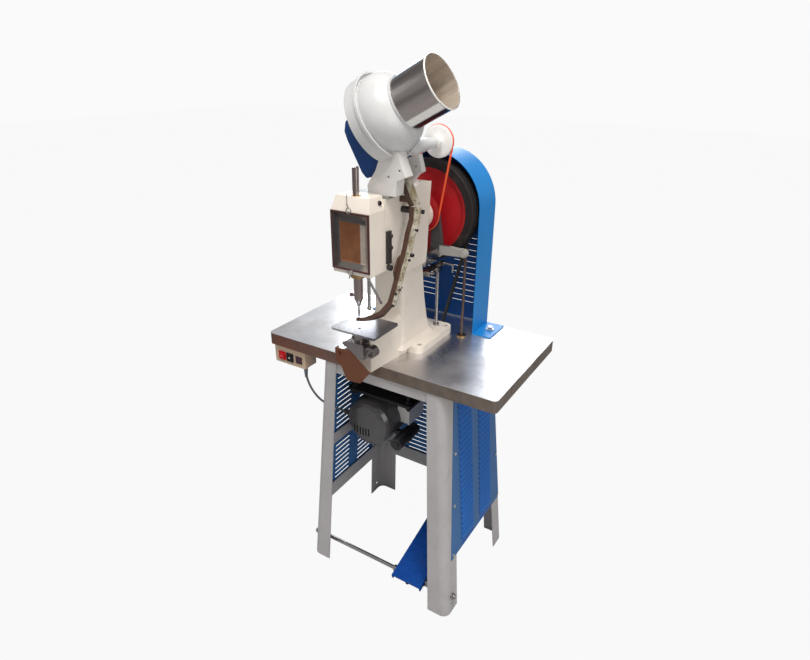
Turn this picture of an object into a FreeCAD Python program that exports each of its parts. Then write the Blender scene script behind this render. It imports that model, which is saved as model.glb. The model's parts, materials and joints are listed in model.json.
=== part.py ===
import FreeCAD, Part
import math
import os

# Eyelet machine on its own stand. Millimetres, +Z up, operator on the -Y side.
# The origin is on the floor, below the middle of the machine and its table.
# X = 0 is the mid-plane of the machine; the shafts of the head run along Y.

V = FreeCAD.Vector

# ---- clearances -------------------------------------------------------------
RUN_FIT = 0.05          # radial play of a turning or sliding fit
SEAT_FIT = 0.02         # radial play of a bush or ring in its seat
GAP = 0.4               # air between pieces that move past each other

# ---- table ------------------------------------------------------------------
TABLE_WIDTH = 717.0
TABLE_FRONT_Y = -165.0
TABLE_DEPTH = 406.0
TABLE_TOP_Z = 750.0
COVER_SHEET = 1.5
BOARD_THICKNESS = 33.5
TABLE_CORNER_R = 12.0

# ---- stand ------------------------------------------------------------------
STAND_X = 25.0          # the stand sits this far right of the machine
FOOT_SPAN_X = 494.0
FOOT_FRONT = -192.0     # outer corner of the front feet
FOOT_BACK = 206.0       # outer corner of the back feet
SPLAY_X = 56.0          # lean of each leg over its height
SPLAY_FRONT = 30.0
SPLAY_BACK = 50.0
LEG_SHEET = 3.0
LEG_FOLD_R = 24.0
LEG_FACE_BOTTOM = 64.0
LEG_FACE_TOP = 48.0
LEG_SIDE = 66.0
FOOT_HOLE_R = 5.5
FOOT_HOLE_Z = 32.0
RAIL_SHEET = 3.0
TOP_RAIL_HEIGHT = 32.0
LOWER_RAIL_Z = 178.0
LOWER_RAIL_HEIGHT = 52.0
MIDDLE_RAIL_Z = 386.0
MIDDLE_RAIL_HEIGHT = 40.0

# ---- louvred sheets ---------------------------------------------------------
PANEL_SHEET = 1.2
LOUVRE_PITCH = 18.0
LOUVRE_HOOD = 12.0      # height of one hood along the sheet
LOUVRE_REACH = 5.0      # how far the lip of a hood stands off the sheet
PANEL_BOTTOM = 184.0
PANEL_TOP_GAP = 3.0     # bare leg above a panel
PANEL_SCREW_R = 5.0
PANEL_SCREW_HEAD = 3.0

# ---- pedal ------------------------------------------------------------------
PEDAL_SHAFT_Y = -160.0
PEDAL_SHAFT_Z = 62.0
PEDAL_SHAFT_R = 6.0
PEDAL_WIDTH = 98.0
PEDAL_CENTRE_X = 133.0
PEDAL_PLATE = 4.0
PEDAL_TILT = 15.0
PEDAL_RISE = 18.0       # top of the tread over the shaft
PEDAL_FRONT = 32.0      # tread ahead of the shaft
PEDAL_REAR = 308.0      # tread behind the shaft
PEDAL_FLANGE = 12.0

# ---- trip rod and lever -----------------------------------------------------
ROD_X = 124.5
ROD_Y = 115.0
ROD_R = 4.0
ROD_BUSH_R = 9.0
ROD_TOP_EYE_R = 10.0
LEVER_Y = 98.0
LEVER_THICKNESS = 11.0
LEVER_PIVOT_X = 41.0
LEVER_PIVOT_Z = 990.0
LEVER_PIN_R = 8.0
LEVER_END_Z = 1000.0
LEVER_ARM_HEIGHT = 27.0
LEVER_TOP_Z = 1103.0
LEVER_END_PIN_R = 4.0

# ---- machine casting --------------------------------------------------------
FOOT_HALF_WIDTH = 87.0
FOOT_FRONT_Y = -57.0
FOOT_REAR_Y = 134.0
FOOT_THICKNESS = 20.0
FOOT_CORNER_R = 20.0
BOLT_SPACING_X = 144.0
BOLT_SPACING_Y = 150.0
BOLT_CENTRE_Y = 40.0
BOLT_HOLE_R = 6.5
BOLT_R = 6.0
BODY_HALF_WIDTH = 53.0
COLUMN_HALF_WIDTH = 45.0
COLUMN_FRONT_Y = -80.0
BODY_UNDER_Z = 985.0
ARM_UNDER_Z = 1017.0
ARM_FRONT_Y = -174.0
ARM_TOP_Z = 1187.0
TOWER_TOP_Z = 1195.0
NOSE_FRONT_Y = -205.0
NOSE_HALF_WIDTH = 30.0
NOSE_TOP_Z = 846.0

# ---- main shaft, flywheel and belts -----------------------------------------
SHAFT_Z = 1098.0
SHAFT_R = 14.0
BUSH_OUTER_R = 18.0
BOSS_R = 40.0
BOSS_REAR_Y = 85.0
FLYWHEEL_FRONT_Y = 118.0
FLYWHEEL_WIDTH = 46.0
FLYWHEEL_R = 138.0
RIM_INNER_R = 116.0
WEB_FRONT_Y = 128.0
WEB_THICKNESS = 12.0
V_BELT_Y = 142.0
V_BELT_WIDTH = 10.0
V_BELT_HEIGHT = 7.0
V_BELT_R_FLYWHEEL = 131.0
V_BELT_R_MOTOR = 35.0
CORD_BELT_Y = 92.0
CORD_BELT_R = 2.8
CORD_PULLEY_R = 50.0
CORD_PULLEY_WIDTH = 9.0
HOPPER_PULLEY_R = 40.0

# ---- motor ------------------------------------------------------------------
MOTOR_X = -57.0
MOTOR_Z = 508.0
MOTOR_R = 75.0
MOTOR_FRONT_Y = -112.0
MOTOR_REAR_Y = 104.0
MOTOR_COVER_DEPTH = 46.0
MOTOR_SHAFT_R = 9.5
MOTOR_PLATE = 8.0
MOTOR_PLATE_X0 = -142.0
MOTOR_PLATE_X1 = 76.0
MOTOR_PLATE_Y0 = -85.0
MOTOR_PLATE_Y1 = 80.0
HANGER_R = 5.0

# ---- motor lead -------------------------------------------------------------
CORD_R = 3.25
CORD_ROUTE = [(-257, -131, 645), (-257, -131, 622), (-252, -129, 597), (-243, -123, 569),
              (-228, -114, 542), (-208, -102, 522), (-189, -94.5, 513), (-168, -86, 508),
              (-150, -86, 508)]
CORD_HOLE = (-196, -97.4, 514.7)    # where the hole through the left panel starts
CORD_HOLE_AXIS = (21, 8.5, -5)
CORD_HOLE_R = 4.8

# ---- head and ram -----------------------------------------------------------
HEAD_FRONT_Y = -235.0
HEAD_TOP_Z = 1197.0
HEAD_SHOULDER_Z = 1165.0
HEAD_SIDE_WALL = 6.0
HEAD_FLOOR = 13.0
HEAD_ROOF_Z = 1160.0
RAM_Y = -210.0
RAM_R = 11.0
RAM_ROD_R = 7.75
RAM_SLEEVE_Z = 947.0
RAM_SHOULDER_Z = 1118.0
RAM_TOP_Z = 1260.0
STROKE = 28.0
PUNCH_R = 2.5
PUNCH_TIP_Z = 899.0
CROSSHEAD_Z = 1072.0
CRANK_DISC_R = 27.0
CRANK_DISC = 9.0
LOWER_BUSH_R = 15.0
UPPER_BUSH_R = 11.75
CROSSHEAD_REAR_Y = -197.5
ROD_REAR_Y = -189.5
CRANK_PIN_R = 7.0
WRIST_PIN_R = 5.0
GUIDE_X = 17.0
GUIDE_Y = -190.0
COVER_FRONT_Y = -239.0
COVER_PLATE = 1.0
COVER_BOTTOM_Z = 1026.5
COVER_TOP_Z = 1164.0
COVER_RIM = 3.5
COVER_SLOPE = 15.0
COVER_DISH = 13.0

# ---- work place -------------------------------------------------------------
PLATE_HALF_WIDTH = 65.0
PLATE_FRONT_Y = -241.0
PLATE_REAR_Y = -132.0
PLATE_TOP_Z = 868.0
PLATE_THICKNESS = 6.0
DIE_R = 3.6
POST_R = 13.5
POST_FOOT_Z = 790.0
CHUTE_SHEET = 1.5

# ---- hopper -----------------------------------------------------------------
HOPPER_X = -3.2
HOPPER_Y = -123.0
HOPPER_ABOVE_ARM = 159.8
HOPPER_CENTRE = V(HOPPER_X, HOPPER_Y, ARM_TOP_Z + HOPPER_ABOVE_ARM)
HOPPER_TILT = 62.0      # degrees from upright, leaning to the right
HOUSING_R = 98.0
HOUSING_BACK = -1.5
HOUSING_FRONT = 26.0
HOUSING_WALL = 4.0
LID_R = 100.0
LID_LIP = 7.0
LID_RIM = 4.0
LID_GROOVE = 6.0
LID_GROOVE_DEPTH = 4.0
LID_COLLAR = 2.5
LID_TOP = 97.0
LID_WALL = 3.0
DRUM_R = 59.0
DRUM_WALL = 1.2
DRUM_MOUTH = 189.0
ROTOR_R = 86.0
ROTOR_SHAFT_R = 8.0
DRIVE_X = 44.0
DRIVE_Z = 1286.0
DRIVE_R = 6.0
DRIVE_NOSE_Y = 66.0     # end of the bearing nose, just ahead of the pulley
BRACKET_BASE = 6.0
LUG_HOLE_R = 2.8
COVER_CORNER_R = 8.0
ROTOR_DISC = 4.0
ROLLER_R = 9.7
ROLLER_Y = -95.0
ROLLER_WIDTH = 8.0

# ---- raceway ----------------------------------------------------------------
RACE_WIDTH = 12.0
RACE_DEPTH = 16.0
RACE_PIVOT_X = 83.0
RACE_PIVOT_Y = -98.0
RACE_PIVOT_Z = 1152.0
RACE_PIN_R = 4.0
STRIP_SHEET = 3.0
STRIP_TOP_WIDTH = 19.0
STRIP_END_WIDTH = 10.0
STRIP_RECESS = 2.0      # strip behind the front face of the rail
STRIP_HOLE_R = 2.1

# ---- belt guard -------------------------------------------------------------
GUARD_R = 148.0
GUARD_Z = 1108.0
GUARD_FRONT_Y = 140.0
GUARD_REAR_Y = 240.0
GUARD_SHEET = 2.0
GUARD_FOOT = 55.0
GUARD_FOOT_SHEET = 3.0
GUARD_BOLT_X = 178.0
GUARD_BOLT_Y = 195.0
GUARD_HOLE_R = 5.5

# ---- switch box -------------------------------------------------------------
SWITCH_X0 = -348.0
SWITCH_X1 = -235.0
SWITCH_FRONT_Y = -156.0
SWITCH_DEPTH = 48.0
SWITCH_HEIGHT = 58.0
BUTTON_Z = 681.0
BUTTON_R = 10.0
BUTTON_TRAVEL = 3.0
BUTTON_DEPTH = 14.0
STOP_BUTTON_X = -321.0
START_BUTTON_X = -292.0
WINDOW_X = -259.0

STAND_TOP = TABLE_TOP_Z - COVER_SHEET - BOARD_THICKNESS
PANEL_TOP = STAND_TOP - PANEL_TOP_GAP


# ---- helpers ----------------------------------------------------------------
def box(x0, x1, y0, y1, z0, z1):
    """A block between two corners."""
    return Part.makeBox(x1 - x0, y1 - y0, z1 - z0, V(x0, y0, z0))


def rod(base, axis, radius, length):
    """A round bar from base along axis."""
    return Part.makeCylinder(radius, length, base, axis)


def rod_y(x, z, y0, y1, radius):
    """A round bar along Y."""
    return rod(V(x, y0, z), V(0, 1, 0), radius, y1 - y0)


def rod_z(x, y, z0, z1, radius):
    """A round bar along Z."""
    return rod(V(x, y, z0), V(0, 0, 1), radius, z1 - z0)


def rod_x(y, z, x0, x1, radius):
    """A round bar along X."""
    return rod(V(x0, y, z), V(1, 0, 0), radius, x1 - x0)


def prism(points, direction):
    """A closed polygon pushed along a vector."""
    wire = Part.makePolygon(points + [points[0]])
    return Part.Face(wire).extrude(direction)


def prism_yz(points, x0, x1):
    """A (y, z) outline that runs from x0 to x1."""
    return prism([V(x0, y, z) for y, z in points], V(x1 - x0, 0, 0))


def prism_xz(points, y0, y1):
    """An (x, z) outline that runs from y0 to y1."""
    return prism([V(x, y0, z) for x, z in points], V(0, y1 - y0, 0))


def turned(profile):
    """A closed (radius, height) outline turned about Z."""
    wire = Part.makePolygon([V(r, 0, z) for r, z in profile + [profile[0]]])
    return Part.Face(wire).revolve(V(0, 0, 0), V(0, 0, 1), 360)


def turned_y(x, z, profile):
    """A closed (radius, y) outline turned about the line through x, z along Y."""
    shape = turned(profile)
    shape.rotate(V(0, 0, 0), V(1, 0, 0), -90)
    shape.translate(V(x, 0, z))
    return shape


def fuse(first, *others):
    """One solid from pieces that belong to one casting or weldment."""
    return first.fuse(list(others)).removeSplitter()


def cut(shape, *tools):
    """The shape without the tools."""
    return shape.cut(list(tools))


def round_edges(shape, radius, axis):
    """Rounds every straight edge that runs along the axis."""
    edges = []
    for edge in shape.Edges:
        if edge.Curve.TypeId == "Part::GeomLine":
            if abs(abs(edge.Curve.Direction.dot(axis)) - 1) < 1e-6:
                edges.append(edge)
    return shape.makeFillet(radius, edges)


def rounded_rectangle(cx, cy, half_x, half_y, radius, z):
    """A level rectangle with round corners, as a wire."""
    shape = Part.makePlane(2 * half_x, 2 * half_y, V(cx - half_x, cy - half_y, z))
    solid = shape.extrude(V(0, 0, 1))
    solid = round_edges(solid, radius, V(0, 0, 1))
    for face in solid.Faces:
        if abs(face.CenterOfMass.z - z) < 1e-6:
            return face.OuterWire
    return shape.OuterWire


def placed(shape, origin, x_axis, z_axis):
    """Moves a shape from its own frame to an origin with the given axes."""
    y_axis = z_axis.cross(x_axis)
    matrix = FreeCAD.Matrix(
        x_axis.x, y_axis.x, z_axis.x, origin.x,
        x_axis.y, y_axis.y, z_axis.y, origin.y,
        x_axis.z, y_axis.z, z_axis.z, origin.z,
        0, 0, 0, 1)
    copy = shape.copy()
    copy.Placement = FreeCAD.Placement(matrix).multiply(copy.Placement)
    return copy


def save(name, *shapes):
    """Writes one node; separate pieces stay separate solids."""
    shape = shapes[0] if len(shapes) == 1 else Part.makeCompound(list(shapes))
    os.makedirs("parts", exist_ok=True)
    shape.exportStep("parts/" + name + ".step")
    box_ = shape.BoundBox
    print("%-22s solids %3d valid %s x %.1f %.1f y %.1f %.1f z %.1f %.1f" % (
        name, len(shape.Solids), shape.isValid(),
        box_.XMin, box_.XMax, box_.YMin, box_.YMax, box_.ZMin, box_.ZMax))


# ---- stand ------------------------------------------------------------------
def leg_corner(side_x, side_y, z):
    """The outer corner of a leg at a height."""
    share = z / STAND_TOP
    x = STAND_X + side_x * (FOOT_SPAN_X / 2 - SPLAY_X * share)
    if side_y < 0:
        return x, FOOT_FRONT + SPLAY_FRONT * share
    return x, FOOT_BACK - SPLAY_BACK * share


def leg_section(side_x, side_y, z):
    """The folded angle of a leg at a height: two faces and a round fold."""
    x, y = leg_corner(side_x, side_y, z)
    face = LEG_FACE_BOTTOM + (LEG_FACE_TOP - LEG_FACE_BOTTOM) * z / STAND_TOP
    fold = LEG_FOLD_R
    inner = LEG_FOLD_R - LEG_SHEET
    bend = 1 - math.sqrt(0.5)

    def at(dx, dy):
        return V(x - side_x * dx, y - side_y * dy, z)

    edges = [
        Part.makeLine(at(face, 0), at(fold, 0)),
        Part.Arc(at(fold, 0), at(fold * bend, fold * bend), at(0, fold)).toShape(),
        Part.makeLine(at(0, fold), at(0, LEG_SIDE)),
        Part.makeLine(at(0, LEG_SIDE), at(LEG_SHEET, LEG_SIDE)),
        Part.makeLine(at(LEG_SHEET, LEG_SIDE), at(LEG_SHEET, fold)),
        Part.Arc(at(LEG_SHEET, fold),
                 at(LEG_SHEET + inner * bend, LEG_SHEET + inner * bend),
                 at(fold, LEG_SHEET)).toShape(),
        Part.makeLine(at(fold, LEG_SHEET), at(face, LEG_SHEET)),
        Part.makeLine(at(face, LEG_SHEET), at(face, 0)),
    ]
    return Part.Wire(edges)


def leg(side_x, side_y):
    """One splayed leg with its foot hole, and the shaft hole in the front pair."""
    shape = Part.makeLoft([leg_section(side_x, side_y, 0), leg_section(side_x, side_y, STAND_TOP)],
                          True, True)
    x, y = leg_corner(side_x, side_y, FOOT_HOLE_Z)
    middle = y - side_y * LEG_SIDE / 2
    holes = [rod_x(middle, FOOT_HOLE_Z, x - 12, x + 12, FOOT_HOLE_R)]
    if side_y < 0:
        holes.append(rod_x(PEDAL_SHAFT_Y, PEDAL_SHAFT_Z, x - 12, x + 12,
                           PEDAL_SHAFT_R + SEAT_FIT))
    return cut(shape, *holes)


def side_rail(side_x, z0, height):
    """A flat bar between a front and a back leg, against their inner faces."""
    wires = []
    for z in (z0, z0 + height):
        x, front = leg_corner(side_x, -1, z)
        back = leg_corner(side_x, 1, z)[1]
        outer = x - side_x * LEG_SHEET
        inner = outer - side_x * RAIL_SHEET
        inset = LEG_FOLD_R + 1
        wires.append(Part.makePolygon([
            V(outer, front + inset, z), V(outer, back - inset, z),
            V(inner, back - inset, z), V(inner, front + inset, z),
            V(outer, front + inset, z)]))
    return Part.makeLoft(wires, True, True)


def cross_rail(side_y, z0, height):
    """A flat bar between a left and a right leg, against their inner faces."""
    wires = []
    for z in (z0, z0 + height):
        left, y = leg_corner(-1, side_y, z)
        right = leg_corner(1, side_y, z)[0]
        outer = y - side_y * LEG_SHEET
        inner = outer - side_y * RAIL_SHEET
        inset = LEG_FOLD_R + 1
        wires.append(Part.makePolygon([
            V(left + inset, outer, z), V(right - inset, outer, z),
            V(right - inset, inner, z), V(left + inset, inner, z),
            V(left + inset, outer, z)]))
    return Part.makeLoft(wires, True, True)


def build_stand():
    """Four legs and the rails between them."""
    for side_x, x_name in ((-1, "left"), (1, "right")):
        for side_y, y_name in ((-1, "front"), (1, "back")):
            save("leg_" + y_name + "_" + x_name, leg(side_x, side_y))
    top = STAND_TOP - TOP_RAIL_HEIGHT
    rails = [cross_rail(-1, top, TOP_RAIL_HEIGHT), cross_rail(1, top, TOP_RAIL_HEIGHT),
             cross_rail(1, LOWER_RAIL_Z, LOWER_RAIL_HEIGHT)]
    for side_x in (-1, 1):
        rails += [side_rail(side_x, top, TOP_RAIL_HEIGHT),
                  side_rail(side_x, LOWER_RAIL_Z, LOWER_RAIL_HEIGHT),
                  side_rail(side_x, MIDDLE_RAIL_Z, MIDDLE_RAIL_HEIGHT)]
    save("stand_rails", *rails)


# ---- louvred sheets ---------------------------------------------------------
def louvre(s0, s1, base, sheet):
    """One slat: the land above a slit, and the hood that leans out over the slit below."""
    top = base + LOUVRE_PITCH
    lip = base + LOUVRE_HOOD
    slat = [(base, LOUVRE_REACH - sheet), (base, LOUVRE_REACH), (lip, sheet),
            (top, sheet), (top, 0), (lip, 0)]
    cheek = [(base, 0), (base, LOUVRE_REACH), (lip, sheet), (lip, 0)]
    pieces = [prism([V(s0, t, n) for t, n in slat], V(s1 - s0, 0, 0))]
    for s in (s0, s1 - sheet):
        pieces.append(prism([V(s, t, n) for t, n in cheek], V(sheet, 0, 0)))
    return pieces


def louvred_sheet(face, columns, first, last, sheet):
    """A flat sheet with columns of louvres; outline along X, height along Y."""
    rows = int((last - first) / LOUVRE_PITCH)
    shape = face.extrude(V(0, 0, sheet))
    windows = [box(s0, s1, first, first + rows * LOUVRE_PITCH, -1, sheet + 1)
               for s0, s1 in columns]
    shape = cut(shape, *windows)
    slats = []
    for s0, s1 in columns:
        for row in range(rows):
            slats += louvre(s0, s1, first + row * LOUVRE_PITCH, sheet)
    return shape.fuse(slats)


def panel_face(points):
    return Part.Face(Part.makePolygon([V(s, t, 0) for s, t in points + [points[0]]]))


def side_panel(side_x):
    """The louvred sheet on one side of the stand, with its screw places."""
    slope = math.hypot(SPLAY_X, STAND_TOP) / STAND_TOP
    low, high = PANEL_BOTTOM * slope, PANEL_TOP * slope
    outline = [(-153, low), (176, low), (137, high), (-107, high)]
    face = panel_face([(s * side_x, t) for s, t in outline])
    columns = [tuple(sorted((a * side_x, b * side_x))) for a, b in ((-88, -11), (33, 109))]
    sheet = louvred_sheet(face, columns, low + 32, high - 22, PANEL_SHEET)
    x_foot = STAND_X + side_x * (FOOT_SPAN_X / 2)
    up = V(-side_x * SPLAY_X, 0, STAND_TOP).normalize()
    panel = placed_yz(sheet, V(x_foot, 0, 0), V(0, side_x, 0), up)
    if side_x < 0:
        panel = cut(panel, rod(V(*CORD_HOLE), V(*CORD_HOLE_AXIS), CORD_HOLE_R, 24))
    return panel


def placed_yz(shape, origin, x_axis, y_axis):
    """Moves a shape from its own frame, with its X and Y axes given."""
    return placed(shape, origin, x_axis, x_axis.cross(y_axis))


def side_panel_screws(side_x):
    """Pan-head screws down the front and back edges of a side panel."""
    slope = math.hypot(SPLAY_X, STAND_TOP) / STAND_TOP
    x_foot = STAND_X + side_x * (FOOT_SPAN_X / 2)
    up = V(-side_x * SPLAY_X, 0, STAND_TOP).normalize()
    out = V(side_x * STAND_TOP, 0, SPLAY_X).normalize()
    span = PANEL_TOP - PANEL_BOTTOM
    screws = []
    for z in (196, 358, 520, 682):
        share = (z - PANEL_BOTTOM) / span
        for y in (-153 + 46 * share + 11, 176 - 39 * share - 11):
            base = V(x_foot, y, 0) + up * (z * slope) + out * PANEL_SHEET
            screws.append(rod(base, out, PANEL_SCREW_R, PANEL_SCREW_HEAD))
    return screws


def back_panel():
    """The louvred sheet across the back of the stand."""
    slope = math.hypot(SPLAY_BACK, STAND_TOP) / STAND_TOP
    low, high = PANEL_BOTTOM * slope, PANEL_TOP * slope
    outline = [(-200, low), (200, low), (160, high), (-160, high)]
    face = panel_face(outline)
    columns = [(-118, -20), (20, 118)]
    sheet = louvred_sheet(face, columns, low + 32, high - 22, PANEL_SHEET)
    up = V(0, -SPLAY_BACK, STAND_TOP).normalize()
    return placed_yz(sheet, V(STAND_X, FOOT_BACK, 0), V(-1, 0, 0), up)


def back_panel_screws():
    slope = math.hypot(SPLAY_BACK, STAND_TOP) / STAND_TOP
    up = V(0, -SPLAY_BACK, STAND_TOP).normalize()
    out = V(0, STAND_TOP, SPLAY_BACK).normalize()
    span = PANEL_TOP - PANEL_BOTTOM
    screws = []
    for z in (196, 358, 520, 682):
        x = 200 - 40 * (z - PANEL_BOTTOM) / span - 11
        for side in (-1, 1):
            base = V(STAND_X + side * x, FOOT_BACK, 0) + up * (z * slope) + out * PANEL_SHEET
            screws.append(rod(base, out, PANEL_SCREW_R, PANEL_SCREW_HEAD))
    return screws


def build_panels():
    save("side_panel_left", side_panel(-1))
    save("side_panel_right", side_panel(1))
    save("back_panel", back_panel())
    save("panel_screws", *(side_panel_screws(-1) + side_panel_screws(1) + back_panel_screws()))


# ---- table ------------------------------------------------------------------
def belt_opening(z0, z1):
    """The hole in the table that the drive belt runs through."""
    return box(-135, 66, V_BELT_Y - 14, V_BELT_Y + 14, z0, z1)


def build_table():
    """A board under a folded stainless cover."""
    half = TABLE_WIDTH / 2
    back = TABLE_FRONT_Y + TABLE_DEPTH
    outer = box(-half, half, TABLE_FRONT_Y, back, STAND_TOP, TABLE_TOP_Z)
    outer = round_edges(outer, TABLE_CORNER_R, V(0, 0, 1))
    inner = box(-half + COVER_SHEET, half - COVER_SHEET, TABLE_FRONT_Y + COVER_SHEET,
                back - COVER_SHEET, STAND_TOP, TABLE_TOP_Z - COVER_SHEET)
    inner = round_edges(inner, TABLE_CORNER_R - COVER_SHEET, V(0, 0, 1))
    openings = [belt_opening(STAND_TOP - 1, TABLE_TOP_Z + 1),
                rod_z(ROD_X, ROD_Y, STAND_TOP - 1, TABLE_TOP_Z + 1, ROD_BUSH_R)]
    for sx in (-1, 1):
        for sy in (-1, 1):
            openings.append(rod_z(sx * BOLT_SPACING_X / 2, BOLT_CENTRE_Y + sy * BOLT_SPACING_Y / 2,
                                  STAND_TOP - 1, TABLE_TOP_Z + 1, BOLT_HOLE_R))
        openings.append(rod_z(sx * GUARD_BOLT_X, GUARD_BOLT_Y, STAND_TOP - 1, TABLE_TOP_Z + 1,
                              GUARD_HOLE_R))
    save("table_cover", cut(outer, inner, *openings))
    save("table_board", cut(inner, *openings))


# ---- pedal, rod and lever ---------------------------------------------------
def pedal_frame(shape):
    """Moves a shape from the pedal's own frame: X along the shaft, Y up the tread."""
    angle = math.radians(PEDAL_TILT)
    along = V(0, math.cos(angle), math.sin(angle))
    return placed_yz(shape, V(PEDAL_CENTRE_X, PEDAL_SHAFT_Y, PEDAL_SHAFT_Z), V(1, 0, 0), along)


def rod_reach():
    """Distance up the tread from the shaft to the trip rod."""
    return (ROD_Y - PEDAL_SHAFT_Y) / math.cos(math.radians(PEDAL_TILT))


def build_pedal():
    half = PEDAL_WIDTH / 2
    top = PEDAL_RISE
    tread = box(-half, half, -PEDAL_FRONT, PEDAL_REAR, top - PEDAL_PLATE, top)
    flanges = []
    for x0 in (-half, half - PEDAL_PLATE):
        flanges.append(box(x0, x0 + PEDAL_PLATE, -PEDAL_FRONT, PEDAL_REAR,
                           top - PEDAL_PLATE - PEDAL_FLANGE, top - PEDAL_PLATE))
        ear = fuse(box(x0, x0 + PEDAL_PLATE, -11, 11, 0, top - PEDAL_PLATE),
                   rod_x(0, 0, x0, x0 + PEDAL_PLATE, 11))
        flanges.append(ear)
    slot_x = ROD_X - PEDAL_CENTRE_X
    slot = box(slot_x - ROD_R - 2, slot_x + ROD_R + 2, rod_reach() - 16, rod_reach() + 16, 0, top + 1)
    shaft = rod_x(0, 0, -half - 1, half + 1, PEDAL_SHAFT_R + RUN_FIT)
    bars = []
    for row in range(11):
        for column in range(4):
            lean = 1 if (row + column) % 2 else -1
            bar = round_edges(box(-9, 9, -2, 2, top, top + 1.2), 1.9, V(0, 0, 1))
            bar.rotate(V(0, 0, 0), V(0, 0, 1), 45 * lean)
            bar.translate(V(-half + 13 + 24 * column, -PEDAL_FRONT + 16 + 27 * row, 0))
            bars.append(bar)
    pedal = cut(fuse(tread, *(flanges + bars)), shaft, slot)
    save("pedal", pedal_frame(pedal))
    bumper = rod(V(0, -PEDAL_FRONT + 9, top - PEDAL_PLATE - 14), V(0, 0, 1), 7, 14)
    save("pedal_bumper", pedal_frame(bumper))
    left = leg_corner(-1, -1, PEDAL_SHAFT_Z)[0]
    right = leg_corner(1, -1, PEDAL_SHAFT_Z)[0]
    shaft = rod_x(PEDAL_SHAFT_Y, PEDAL_SHAFT_Z, left - 14, right + 14, PEDAL_SHAFT_R)
    nuts = [prism([V(left - 10, PEDAL_SHAFT_Y + 10 * math.cos(a), PEDAL_SHAFT_Z + 10 * math.sin(a))
                   for a in [math.pi / 3 * i for i in range(6)]], V(7, 0, 0)),
            prism([V(right + 3, PEDAL_SHAFT_Y + 10 * math.cos(a), PEDAL_SHAFT_Z + 10 * math.sin(a))
                   for a in [math.pi / 3 * i for i in range(6)]], V(7, 0, 0))]
    collars = [rod_x(PEDAL_SHAFT_Y, PEDAL_SHAFT_Z, x, x + 10, 10)
               for x in (PEDAL_CENTRE_X - half - 11, PEDAL_CENTRE_X + half + 1)]
    save("pedal_shaft", fuse(shaft, *(nuts + collars)))


def hexagon(x, y, z, across, height):
    """A level nut, axis along Z."""
    radius = across / math.sqrt(3)
    points = [V(x + radius * math.cos(math.pi / 3 * i), y + radius * math.sin(math.pi / 3 * i), z)
              for i in range(6)]
    return prism(points, V(0, 0, height))


def build_rod():
    """The trip rod: two nuts clamp the tread loosely, an eye holds the lever pin."""
    tread_z = (PEDAL_SHAFT_Z + rod_reach() * math.sin(math.radians(PEDAL_TILT))
               + PEDAL_RISE * math.cos(math.radians(PEDAL_TILT)))
    rod_shape = rod_z(ROD_X, ROD_Y, tread_z - 32, LEVER_END_Z - ROD_TOP_EYE_R + 1, ROD_R)
    eye = cut(rod_y(ROD_X, LEVER_END_Z, ROD_Y - 4, ROD_Y + 2.4, ROD_TOP_EYE_R),
              rod_y(ROD_X, LEVER_END_Z, ROD_Y - 5, ROD_Y + 5, LEVER_END_PIN_R + 2.4))
    under = hexagon(ROD_X, ROD_Y, tread_z - 22, 14, 8)
    over = hexagon(ROD_X, ROD_Y, tread_z + 8, 14, 8)
    save("trip_rod", fuse(rod_shape, eye, under, over))


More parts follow.
